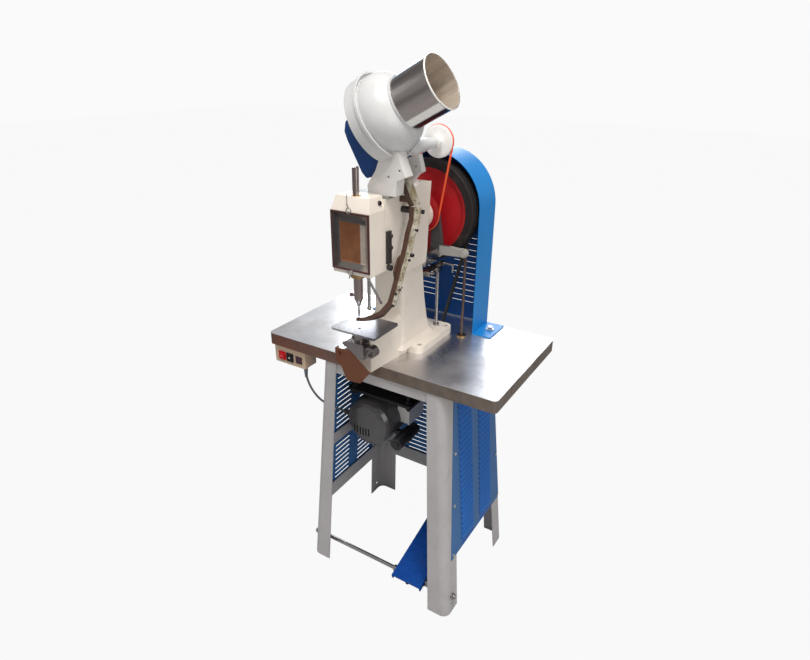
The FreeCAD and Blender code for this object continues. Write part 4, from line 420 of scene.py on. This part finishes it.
def table_steel(name):
    """Brushed sheet with a haze of wear, a brown film in patches and dark, oily edges."""
    f = Finish(name)
    x, y, z = f.axes()
    grain = f.noise(1.0, 8.0, f.squeezed((4, 420, 420)), rough=0.7)
    haze = f.noise(6.0, 5.0)
    stain = f.noise(9.0, 6.0, rough=0.65).between(0.46, 0.74)
    front = y.between(*FILM_FORWARD) * x.between(*FILM_LEFT) * x.between(*FILM_RIGHT)
    worn = stain.or_larger(front * 0.9)
    edge = z.between(*FOLDED_EDGE)
    rust = f.mix(x.between(*RUST_FADES), RED_RUST, PALE_RUST)
    rust = f.mix(f.noise(30.0, 5.0).between(0.3, 0.7) * 0.5, rust, DRIED_OIL)
    base = f.mix(haze.between(0.35, 0.65), SHEET_GREY, SHEET_WHITE)
    base = f.mix(worn * 0.5, base, FILM)
    dull = x.between(*DULL_END) * (0.20 + 0.26 * haze.between(0.35, 0.65)) * (1 - edge)
    f.set(Base_Color=f.mix(edge * 0.9, base, rust), Metallic=1 - dull,
          Roughness=0.30 + 0.05 * (grain - 0.5) + 0.20 * (haze - 0.5) + 0.10 * worn + 0.2 * edge)
    f.relief(grain, depth=0.000006)
    return f.material

# %% [markdown]
# ## The hopper drum
# The drum is one sheet of polished steel, rolled into a tube and welded. Wiping leaves fine brown
# lines along its axis. Its light and shade are painted into its colour: a painted lit side and a
# painted shaded side, painted dark streaks of reflection along the axis, painted shade underneath,
# a painted blue reflection, and painted highlights on the seam strip and the lip. The pattern is
# worked out round that axis: a Mapping node turns the object's coordinates so that Z points out of
# the mouth, and an arc tangent gives the angle round the drum. A strip is given by the angle of its
# middle and half its width.

# %% Drum steel
HOPPER_CENTRE = Vector((-3.2, -123, 1346.8)) * MM
HOPPER_TILT = math.radians(62)
DRUM_SKIN, LIP_SKIN = 0.0582, 0.0592
LIP_BEGINS = (0.1862, 0.1866)
SEAM = (0.96, 0.15)
# Angle and half width of a painted blue reflection.
BLUE_REFLECTION_ANGLE = (-1.24, 0.15)
STRIP_FADES = 0.07
# Angles where the painted lit side begins and where the painted shade underneath begins.
LIT_SIDE, UNDERSIDE = (-0.75, -0.05), (1.12, 1.20)
WIPED_BROWN, SHADOWED = (0.12, 0.10, 0.09), (0.06, 0.045, 0.055)
# Colours of the painted blue reflection and of the painted highlights on the seam and the lip.
REFLECTED_BLUE, SEAM_HIGHLIGHT_WHITE, LIP_HIGHLIGHT_WHITE = (0.40, 0.56, 0.74), (0.97, 0.95, 0.91), (0.92, 0.88, 0.83)


def rolled_steel(name, colour, inner_colour):
    """Polished tube: painted lit and shaded sides with painted dark streaks of reflection, painted
    shade underneath, a painted blue reflection, painted highlights on the seam strip and the lip,
    and a duller and warmer inside.
    """
    f = Finish(name)
    local = f.node("Mapping", {"vector_type": "TEXTURE"},
                   {"Vector": f.place, "Location": tuple(HOPPER_CENTRE),
                    "Rotation": (0, HOPPER_TILT, 0)})
    x, y, z = f.axes(local)
    angle = x.maths("ARCTAN2", x, 0 - y)
    fine = f.node("CombineXYZ", {}, {"X": angle * 40.0, "Y": z * 14.0})
    broad = f.node("CombineXYZ", {}, {"X": angle * 3.0, "Y": z * 4.0})
    line = f.noise(1.5, 5.0, fine)
    streak_and_reflection = f.noise(1.3, 4.0, broad).between(0.34, 0.66)
    distance = (x * x + y * y) ** 0.5
    inside = 1 - (distance > DRUM_SKIN)
    lip = z.between(*LIP_BEGINS) * (distance > LIP_SKIN)

    def strip(centre, half):
        return 1 - (angle - centre).absolute().between(half, half + STRIP_FADES)

    seam_highlight, blue_reflection = strip(*SEAM), strip(*BLUE_REFLECTION_ANGLE)
    # Painted light and shade: lit on one side, dark on the other, with painted streaks of
    # reflection.
    shade = angle.between(*LIT_SIDE) * 0.75 + 0.25 * streak_and_reflection
    base = f.mix(shade, tuple(c * 0.36 for c in colour), colour)
    base = f.mix(line.between(0.35, 0.75) * 0.3, base, WIPED_BROWN)
    # Painted shade darkens the drum's underside.
    base = f.mix(angle.between(*UNDERSIDE), base, SHADOWED)
    # A painted blue reflection in a strip round the drum.
    base = f.mix(blue_reflection * (0.5 + 0.5 * streak_and_reflection), base, REFLECTED_BLUE)
    # The seam strip is real; its white is a painted highlight.
    base = f.mix(seam_highlight, base, SEAM_HIGHLIGHT_WHITE)
    base = f.mix(inside, base, f.mix(streak_and_reflection, tuple(c * 0.75 for c in inner_colour), inner_colour))
    # The rolled lip is painted white as a painted highlight.
    base = f.mix(lip, base, LIP_HIGHLIGHT_WHITE)
    dull = (inside * 0.75).or_larger((seam_highlight + 0.5 * blue_reflection) * (1 - inside))
    f.set(Base_Color=base, Metallic=1 - dull.or_larger(lip),
          Roughness=0.16 + 0.1 * line + 0.22 * inside + 0.06 * streak_and_reflection)
    f.relief(line, depth=0.00004)
    return f.material

# %% [markdown]
# ## The dished cover
# The cover on the head is a pan of thin steel with a dark red-brown rim. Its slopes carry painted
# shade on the left and painted light on the right. The amber varnish on its flat floor stops short
# at the top, where the metal is grey, and at the right, where the floor is painted the beige of the
# lit right slope as painted light. Depth and distance from the middle tell floor, slope and rim
# from each other.

# %% Dished cover
FLOOR_DEPTH = (-0.2278, -0.2268)
COVER_MIDDLE = 1.09525
RIM_ACROSS, RIM_UPRIGHT = (0.0482, 0.0490), (0.0636, 0.0644)
LEFT_ENDS, RIGHT_BEGINS, TOP_BEGINS = (-0.042, -0.030), (0.026, 0.038), (1.134, 1.138)
VARNISH_RIGHT, VARNISH_TOP = (0.0215, 0.0195), (1.1385, 1.1365)
DARK_AMBER, PALE_AMBER = (0.21, 0.075, 0.030), (0.34, 0.135, 0.055)
# Slope colours: painted shade on the left slope, plain grey between, painted light on the right.
LEFT_SLOPE_SHADE, MIDDLE_GREY = (0.030, 0.028, 0.030), (0.125, 0.115, 0.110)
RIGHT_SLOPE_LIGHT, FLOOR_EDGE_LIGHT, BARE_GREY = (0.34, 0.28, 0.235), (0.55, 0.46, 0.39), (0.115, 0.105, 0.100)
OILY_BROWN, STAIN_BROWN = (0.12, 0.085, 0.06), (0.10, 0.055, 0.035)
RIM_BROWN = (0.095, 0.036, 0.034)


def dished_cover(name):
    """Amber field, slopes with painted shade on the left and painted light on the right, and a dark
    rim.
    """
    f = Finish(name)
    x, y, z = f.axes()
    floor_share = y.between(*FLOOR_DEPTH)
    upright = (z - COVER_MIDDLE).absolute()
    rim = x.absolute().between(*RIM_ACROSS).or_larger(upright.between(*RIM_UPRIGHT))
    cloud = f.noise(24.0, 6.0, rough=0.65)
    stain = f.noise(70.0, 4.0).between(0.55, 0.75)
    amber = f.mix(cloud.between(0.3, 0.7), DARK_AMBER, PALE_AMBER)
    # The slopes are painted near black on the left as painted shade and beige on the right as
    # painted light.
    slope = f.mix(x.between(*LEFT_ENDS), LEFT_SLOPE_SHADE,
                  f.mix(x.between(*RIGHT_BEGINS), MIDDLE_GREY, RIGHT_SLOPE_LIGHT))
    slope = f.mix(cloud.between(0.4, 0.7) * 0.4, slope, OILY_BROWN)
    # The floor's right strip is painted the lit right slope's beige as painted light; its top strip
    # is grey.
    bare = f.mix(z.between(*TOP_BEGINS), FLOOR_EDGE_LIGHT, BARE_GREY)
    varnished = x.between(*VARNISH_RIGHT) * z.between(*VARNISH_TOP)
    base = f.mix(floor_share, slope, f.mix(varnished, bare, amber))
    base = f.mix(stain * 0.35, base, STAIN_BROWN)
    f.set(Base_Color=f.mix(rim, base, RIM_BROWN), Metallic=0.30,
          Roughness=0.34 + 0.16 * (cloud - 0.5))
    f.relief(cloud, depth=0.0002)
    return f.material

# %% [markdown]
# ## Which finish goes where
# The model's record names a material slot for each node, so one table of finishes serves them all.
# Some nodes have a finish of their own. Where a piece has two colours, a small function of the
# three coordinates says where the second one is.

# %% Finishes
LOUVRE_COLUMNS = ((-0.088, -0.011), (0.033, 0.109))
LOUVRE_START, LOUVRE_STEP = 0.2159, 0.01795
LEVER_ARM_X, LEVER_ARM_TOP = 0.052, 1.0125
BRACKET_FOOT_TOP = 1.1935
GUARD_BOLTS_X = 0.120
# Where the painted shade on the work plate begins and ends.
PLATE_SHADE_SPAN = (-0.03, 0.05)


def louvre_columns(x, y, z):
    """1 on the two columns of hoods in a side panel."""
    return sum((y > low) * (1 - (y > high)) for low, high in LOUVRE_COLUMNS)


def louvre_shade(x, y, z):
    """The shade on the land between two hoods of a column."""
    row = z.maths("FRACT", (z - LOUVRE_START) / LOUVRE_STEP)
    return louvre_columns(x, y, z) * row.between(0.45, 0.70)


def lever_arm(x, y, z):
    """The worn, brighter end of the clutch lever's arm."""
    return (x > LEVER_ARM_X) * (1 - (z > LEVER_ARM_TOP))


def bracket_foot(x, y, z):
    """The bare foot of the hopper's bracket."""
    return 1 - (z > BRACKET_FOOT_TOP)


def guard_bolts(x, y, z):
    """The bolts outside the casting's feet, which hold the belt guard."""
    return x.absolute() > GUARD_BOLTS_X


def plate_painted_shade(x, y, z):
    """Painted shade on the work plate, darkening it towards the right."""
    return x.between(*PLATE_SHADE_SPAN)


FINISHES = {
    "stand_paint": painted("stand_paint", (0.50, 0.48, 0.48), 0.42, cast=0.1, grime=0.25,
                           chips=0.15, rounding=0.0012, shine=0.3),
    "panel_blue": painted("panel_blue", (0.026, 0.150, 0.40), 0.40, grime=0.2, shine=0.25),
    "guard_blue": painted("guard_blue", (0.010, 0.23, 0.62), 0.34, grime=0.10, shine=0.32),
    "pedal_blue": painted("pedal_blue", (0.003, 0.055, 0.28), 0.45, grime=0.15, chips=0.3,
                          shine=0.12),
    "gear_cover_blue": painted("gear_cover_blue", (0.014, 0.058, 0.21), 0.36, grime=0.15,
                               rounding=0.002, shine=0.25),
    "cream_paint": painted("cream_paint", (0.90, 0.81, 0.71), 0.30, cast=0.5, grime=0.08,
                           rounding=0.0022, shine=0.4),
    "race_brown": painted("race_brown", (0.085, 0.040, 0.026), 0.35, grime=0.3),
    "bracket_black": painted("bracket_black", (0.022, 0.020, 0.022), 0.4),
    "lever_iron": painted("lever_iron", (0.075, 0.072, 0.075), 0.38, cast=0.8, rounding=0.0018,
                          regions=[((0.42, 0.40, 0.37), lever_arm)]),
    "rim_black": painted("rim_black", (0.020, 0.015, 0.016), 0.60, cast=0.3, shine=0.25,
                         rounding=0.0),
    "flywheel_red": painted("flywheel_red", (0.44, 0.010, 0.016), 0.34, cast=0.3, shine=0.3),
    "motor_grey": painted("motor_grey", (0.080, 0.076, 0.080), 0.28, cast=0.4, coat=0.6),
    "box_grey": painted("box_grey", (0.95, 0.93, 0.90), 0.38, grime=0.1),
    "plate_black": painted("plate_black", (0.020, 0.020, 0.024), 0.45, shine=0.3),
    "switch_beige": painted("switch_beige", (0.66, 0.49, 0.35), 0.42, grime=0.2, shine=0.3),
    "white_paint": painted("white_paint", (0.90, 0.88, 0.85), 0.3, cast=0.2, grime=0.06),
    "can_black": moulded("can_black", (0.022, 0.022, 0.025), 0.32),
    "rubber_black": moulded("rubber_black", (0.025, 0.024, 0.023), 0.62),
    "belt_orange": moulded("belt_orange", (0.90, 0.11, 0.03), 0.35, dust=0.04),
    "button_red": moulded("button_red", (0.55, 0.008, 0.015), 0.35, dust=0.02, shine=0.25),
    "button_black": moulded("button_black", (0.010, 0.010, 0.010), 0.35, dust=0.02, shine=0.2),
    "cord_grey": moulded("cord_grey", (0.17, 0.18, 0.20), 0.5),
    "stainless_sheet": table_steel("stainless_sheet"),
    "drum_stainless": rolled_steel("drum_stainless", (0.56, 0.50, 0.48), (0.66, 0.56, 0.46)),
    "tray_stainless": bare_metal("tray_stainless", (0.31, 0.130, 0.078), 0.34, (40, 40, 6),
                                 stain=0.7, stain_colour=(0.12, 0.05, 0.03)),
    "turned_steel": bare_metal("turned_steel", (0.50, 0.48, 0.47), 0.26, (40, 40, 420)),
    "tool_steel": bare_metal("tool_steel", (0.50, 0.48, 0.48), 0.22, (40, 40, 420), stain=0.15),
    "zinc_screws": bare_metal("zinc_screws", (0.72, 0.71, 0.68), 0.28, (90, 90, 90), stain=0.3),
    "bronze": bare_metal("bronze", (0.55, 0.36, 0.16), 0.3, (60, 60, 60)),
    "strip_brass": worn_brass("strip_brass"),
    "rod_copper": bare_metal("rod_copper", (0.19, 0.135, 0.12), 0.42, (40, 40, 300), stain=0.5,
                             stain_colour=(0.08, 0.045, 0.035)),
    "rotor_aluminium": bare_metal("rotor_aluminium", (0.66, 0.66, 0.66), 0.3, (90, 90, 90)),
    "board": plywood("board"),
}
SPECIAL = {
    "hopper_lid": painted("hopper_white", (0.66, 0.655, 0.65), 0.26, cast=0.2, grime=0.05,
                          rounding=0.0012, shine=0.45),
    "hopper_bracket": painted("bracket_cream", (0.78, 0.75, 0.72), 0.32, cast=0.5, grime=0.08,
                              rounding=0.0012, shine=0.4,
                              regions=[((0.27, 0.26, 0.24), bracket_foot)]),
    # The hood columns are painted a brighter blue as painted light on the hoods, with painted shade
    # on the land between hoods.
    "side_panel_right": painted("louvre_blue", (0.040, 0.150, 0.38), 0.40, grime=0.2, shine=0.25,
                                regions=[((0.014, 0.154, 0.54), louvre_columns),
                                         ((0.005, 0.062, 0.34), louvre_shade)]),
    # The guard's back plate is a darker, shaded copy of the guard's blue: painted shade.
    "belt_guard_back": painted("guard_back_shaded_blue", (0.010, 0.075, 0.29), 0.42, grime=0.2,
                               shine=0.2),
    "front_cover": dished_cover("dished_cover"),
    # The bolts at the casting's feet are nearly black: partly their own black, partly painted shade
    # standing in for their dark holes.
    "machine_bolts": bare_metal("bolt_black_hole_shade", (0.008, 0.007, 0.007), 0.4, (90, 90, 90), stain=0.2,
                                region=((0.62, 0.61, 0.59), guard_bolts)),
    "ram": bare_metal("oiled_rod", (0.44, 0.36, 0.345), 0.24, (260, 260, 5), stain=0.3,
                      stain_colour=(0.13, 0.09, 0.07)),
    "die_post": bare_metal("oiled_die", (0.34, 0.30, 0.30), 0.22, (40, 40, 300), stain=0.4,
                           stain_colour=(0.11, 0.075, 0.06)),
    "cover_clips": bare_metal("clip_steel", (0.30, 0.28, 0.28), 0.36, (90, 90, 90)),
    # The work plate's right end is darkened as painted shade.
    "work_plate": bare_metal("plate_steel", (0.72, 0.73, 0.76), 0.24, (4, 420, 420), stain=0.3,
                             region=((0.17, 0.17, 0.20), plate_painted_shade)),
}
SPECIAL["hopper_housing"] = SPECIAL["hopper_lid"]


def dress(obj, slot, material=None):
    """Gives an object its finish: the slot's finish, or the material given instead."""
    obj.data.materials.clear()
    obj.data.materials.append(material or FINISHES[slot])


for part in frame["record"]["subparts"]:
    dress(frame["nodes"][part["node"]], part["material_slot"], SPECIAL.get(part["node"]))

# %% [markdown]
# ## The lead's strain relief
# Where a lead leaves a housing, a ribbed, tapered sleeve keeps it from kinking. It is a profile
# turned about the lead's first, straight run: wide at the gland, thin at the end.

# %% Strain relief
LEAD_EXIT = np.array(LEAD_ROUTE[0]) / MM
RELIEF, RIB_PITCH, RIB = 30.0, 1.5, 0.45
WIDE, TAPER, BORE = 6.2, 2.4, 3.4
GLAND, GLAND_DEPTH = 6.6, 4
steps = np.arange(0, RELIEF + 0.1, RIB_PITCH)
ribs = WIDE - TAPER * steps / RELIEF + RIB * (np.arange(steps.size) % 2)
sleeve = [(BORE, -GLAND_DEPTH), (GLAND, -GLAND_DEPTH), *zip(ribs, steps), (BORE, RELIEF),
          (BORE, -GLAND_DEPTH)]
strain_relief = surface("strain_relief", turned(LEAD_EXIT, (0, 0, -1), sleeve))
dress(strain_relief, "cord_grey")
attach(strain_relief, "stand")
print("strain relief of", len(sleeve), "rings")

dress(motor_lead, "cord_grey")
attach(motor_lead, "stand")
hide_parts("motor_cord")

# %% [markdown]
# ## Screws, bezels and the pilot window
# Small dark screws trim the raceway's strip, and one plugs the oil hole in the head. Each is a
# profile turned about its own axis: a shank, then a head with a rounded edge and a socket. They
# ride on the piece that carries them, so that they swing with it. Each row gives a place, the
# direction of the head, and the head's radius and height in millimetres.

# %% Screws
BLACK_SCREW = bare_metal("screw_black", (0.07, 0.06, 0.065), 0.35, (90, 90, 90), stain=0.2)
SIDEWAYS, FORWARD = (1, 0, 0), (0, -1, -0.3)
RACE_SCREWS = [((99, -112, 1110), SIDEWAYS, 3.4, 6.5),
               ((97, -129, 1053), SIDEWAYS, 4.8, 7.5),
               ((93.5, -134, 1041), SIDEWAYS, 3.2, 5.0),
               ((85.5, -158.5, 972), FORWARD, 3.6, 4),
               ((77.5, -163.0, 962), FORWARD, 3.4, 4),
               ((76, -171.0, 934), FORWARD, 3.6, 4)]
HEAD_PLUG = ((48.0, -190, 1182), SIDEWAYS, 5.4, 5.0)
PLUG_SHANK = 6.0


def cap_screw(name, place, direction, radius, height, shank=10.0):
    """A cap screw whose head starts at a place and grows along a direction."""
    core, socket_floor = radius * 0.45, height * 0.45
    profile = [(0, -shank), (core, -shank), (core, 0), (radius, 0), (radius, height * 0.8),
               (radius * 0.86, height), (radius * 0.5, height), (core, socket_floor),
               (0, socket_floor)]
    return surface(name, turned(place, direction, profile), smooth=35)


race_screws = joined("race_screws", [cap_screw("race_screw_%d" % n, *values)
                                     for n, values in enumerate(RACE_SCREWS)])
dress(race_screws, "bracket_black", BLACK_SCREW)
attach(race_screws, "raceway_lower")
head_plug = cap_screw("head_plug", *HEAD_PLUG, shank=PLUG_SHANK)
dress(head_plug, "bracket_black", BLACK_SCREW)
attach(head_plug, "stand")
print("screws", len(RACE_SCREWS) + 1)

# %% [markdown]
# A bezel is a square plate with a round hole. Its outer line is a superellipse, which is a square
# with soft corners, worked out at the same angles as the hole, so that both loops have as many
# points. The pilot window is a low square cap, built from loops of four corners, each with a half
# width and a height.

# %% Switch details
SWITCH_FRONT = -156.0
BUTTON_HEIGHT = 681.0
STOP_X, START_X, PILOT_X = -321.0, -292.0, -259.0
BEZEL_HALF, BEZEL_HOLE, BEZEL_THICK, BEZEL_EDGE, BEZEL_SUNK = (13.2, 13.8), 10.3, 2.4, 0.8, 1.0
SQUARENESS, BEZEL_POINTS = 12, 64
CORNERS = np.array([[-1, -1], [1, -1], [1, 1], [-1, 1]])
PANE_BACK, PANE_TALL = -155.8, 0.96
PANE_LOOPS = ((0, 0), (11.738, 0), (11.738, 1.4), (11.172, 2.0), (0, 2.2))
INSERT = [(0, -0.8), (3.0, -0.8), (3.0, 0.3), (2.6, 0.5), (0, 0.5)]


def bezel(name, x):
    """A soft-cornered square plate with a round hole, on the front of the switch box."""
    angle = np.linspace(0, 2 * np.pi, BEZEL_POINTS, endpoint=False)
    cosine, sine = np.cos(angle), np.sin(angle)
    across, upright = np.abs(cosine / BEZEL_HALF[0]), np.abs(sine / BEZEL_HALF[1])
    reach = (across ** SQUARENESS + upright ** SQUARENESS) ** (-1 / SQUARENESS)
    hole = np.full_like(reach, BEZEL_HOLE)
    steps = ((hole, BEZEL_SUNK), (hole, -BEZEL_THICK), (reach - BEZEL_EDGE, -BEZEL_THICK),
             (reach, BEZEL_EDGE - BEZEL_THICK), (reach, BEZEL_SUNK))
    loops = [np.stack([x + out * cosine, np.full_like(reach, SWITCH_FRONT + depth),
                       BUTTON_HEIGHT + out * sine], -1) for out, depth in steps]
    return surface(name, np.array(loops) * MM, wrap_rows=True, smooth=40)


for name, x, slot in (
        ("bezel_stop", STOP_X, "button_red"),
        ("bezel_start", START_X, "button_black")):
    plate = bezel(name, x)
    dress(plate, slot)
    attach(plate, "stand")
loops = [np.column_stack([PILOT_X + half * CORNERS[:, 0], np.full(4, PANE_BACK - height),
                          BUTTON_HEIGHT + half * PANE_TALL * CORNERS[:, 1]])
         for half, height in PANE_LOOPS]
pane = surface("pilot_window", np.array(loops) * MM, smooth=30)
dress(pane, "button_black", moulded("window_dark", (0.060, 0.018, 0.035), 0.15, dust=0.03))
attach(pane, "stand")
for name, x, front, slot, colour in (
        ("stop_insert", STOP_X, -162.0, "button_red", (0.80, 0.12, 0.14)),
        ("start_insert", START_X, -160.0, "button_black", (0.50, 0.54, 0.48))):
    insert = surface(name, turned((x, front, BUTTON_HEIGHT), (0, -1, 0), INSERT))
    dress(insert, slot, moulded(name, colour, 0.4, dust=0.05))
    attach(insert, name.replace("insert", "button"))
print("bezels", 2 * BEZEL_HALF[0], "mm across, pilot window", 2 * PANE_LOOPS[1][0], "mm")

# %% [markdown]
# A rubber strip closes the gap between the belt guard's back plate and the table.

# %% Guard seal
SEAL_HALF = 142.0
SEAL_MIDDLE, SEAL_SECTION = np.array([236.2, 752.65]), np.array([2.0, 2.35])
rows = [np.column_stack([np.full(4, x), SEAL_MIDDLE + CORNERS * SEAL_SECTION * share])
        for x, share in ((-SEAL_HALF, 0.0), (-SEAL_HALF, 1.0), (SEAL_HALF, 1.0), (SEAL_HALF, 0.0))]
seal = surface("guard_seal", np.array(rows) * MM, smooth=30)
dress(seal, "rubber_black", moulded("seal_grey", (0.42, 0.47, 0.60), 0.5, dust=0.3))
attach(seal, "stand")
print("seal of", 2 * SEAL_HALF, "mm")

# %% [markdown]
# ## The studio
# A big soft lamp overhead, weaker ones at both sides and two behind, a little higher than the
# machine, light it. Those behind show in the table top as a sheen. The floor and the world look
# nearly white to the camera through the Light Path node, while their light on the machine stays at
# a plain level, and the floor keeps a trace of the shadow. A lamp's row holds its place, size,
# power and colour.

# %% Floor, world and lamps
PALE = 0.955
AMBIENT = 0.36
FLOOR_SHARE, FLOOR_GREY, FLOOR_HALF, FLOOR_DROP = 0.985, 0.42, 14.0, 0.0005
AIM = Vector((0, 0, 0.8))


def seen_directly(tree):
    """1 for rays from the camera or through glass, and 0 for the others."""
    path = tree.nodes.new("ShaderNodeLightPath")
    rays = [Signal(tree, path.outputs[n]) for n in ("Is Camera Ray", "Is Transmission Ray")]
    return rays[0].maths("ADD", *rays, clamp=True)


x, y = np.meshgrid([-FLOOR_HALF, FLOOR_HALF], [-FLOOR_HALF, FLOOR_HALF])
floor = surface("floor", np.stack([x, y, np.full_like(x, -FLOOR_DROP)], -1), wrap_columns=False)
paper = bpy.data.materials.new("paper")
paper.use_nodes = True
nodes = paper.node_tree.nodes
plain = nodes["Principled BSDF"]
plain.inputs["Base Color"].default_value = (FLOOR_GREY, FLOOR_GREY, FLOOR_GREY, 1)
plain.inputs["Roughness"].default_value = 0.9
glow = nodes.new("ShaderNodeEmission")
glow.inputs["Color"].default_value = (PALE, PALE, PALE, 1)
blend = nodes.new("ShaderNodeMixShader")
feed(paper.node_tree, blend.inputs[0], seen_directly(paper.node_tree) * FLOOR_SHARE)
paper.node_tree.links.new(plain.outputs[0], blend.inputs[1])
paper.node_tree.links.new(glow.outputs[0], blend.inputs[2])
paper.node_tree.links.new(blend.outputs[0], nodes["Material Output"].inputs[0])
floor.data.materials.append(paper)

world = bpy.data.worlds.new("studio")
bpy.context.scene.world = world
world.use_nodes = True
sky = world.node_tree.nodes["Background"]
sky.inputs["Color"].default_value = (1, 1, 1, 1)
feed(world.node_tree, sky.inputs["Strength"],
     seen_directly(world.node_tree) * (PALE - AMBIENT) + AMBIENT)

WARM = (1.0, 0.985, 0.96)
LAMPS = {"key": ((0.8, -1.2, 4.4), (1.6, 1.6), 122.0, WARM),
         "fill": ((2.4, -1.3, 1.5), (1.6, 1.6), 17.0, WARM),
         "side": ((-2.4, -1.2, 1.8), (1.6, 1.6), 9.0, (0.90, 0.95, 1.0)),
         "rear": ((-0.95, 2.2, 1.68), (1.6, 1.2), 24.0, (0.94, 0.97, 1.0)),
         "rear_left": ((-2.75, 1.9, 1.75), (1.7, 1.3), 2.2, (0.92, 0.94, 1.0))}
for name, (place, spread, power, tint) in LAMPS.items():
    lamp = bpy.data.lights.new(name, "AREA")
    lamp.shape, lamp.energy, lamp.color = "ELLIPSE", power, tint
    lamp.size, lamp.size_y = spread
    holder = bpy.data.objects.new(name, lamp)
    bpy.context.scene.collection.objects.link(holder)
    holder.location = place
    holder.rotation_euler = (AIM - Vector(place)).to_track_quat("-Z", "Y").to_euler()
    holder.visible_camera = False
bpy.context.scene.view_settings.view_transform = "Standard"
print("lamps", list(LAMPS))
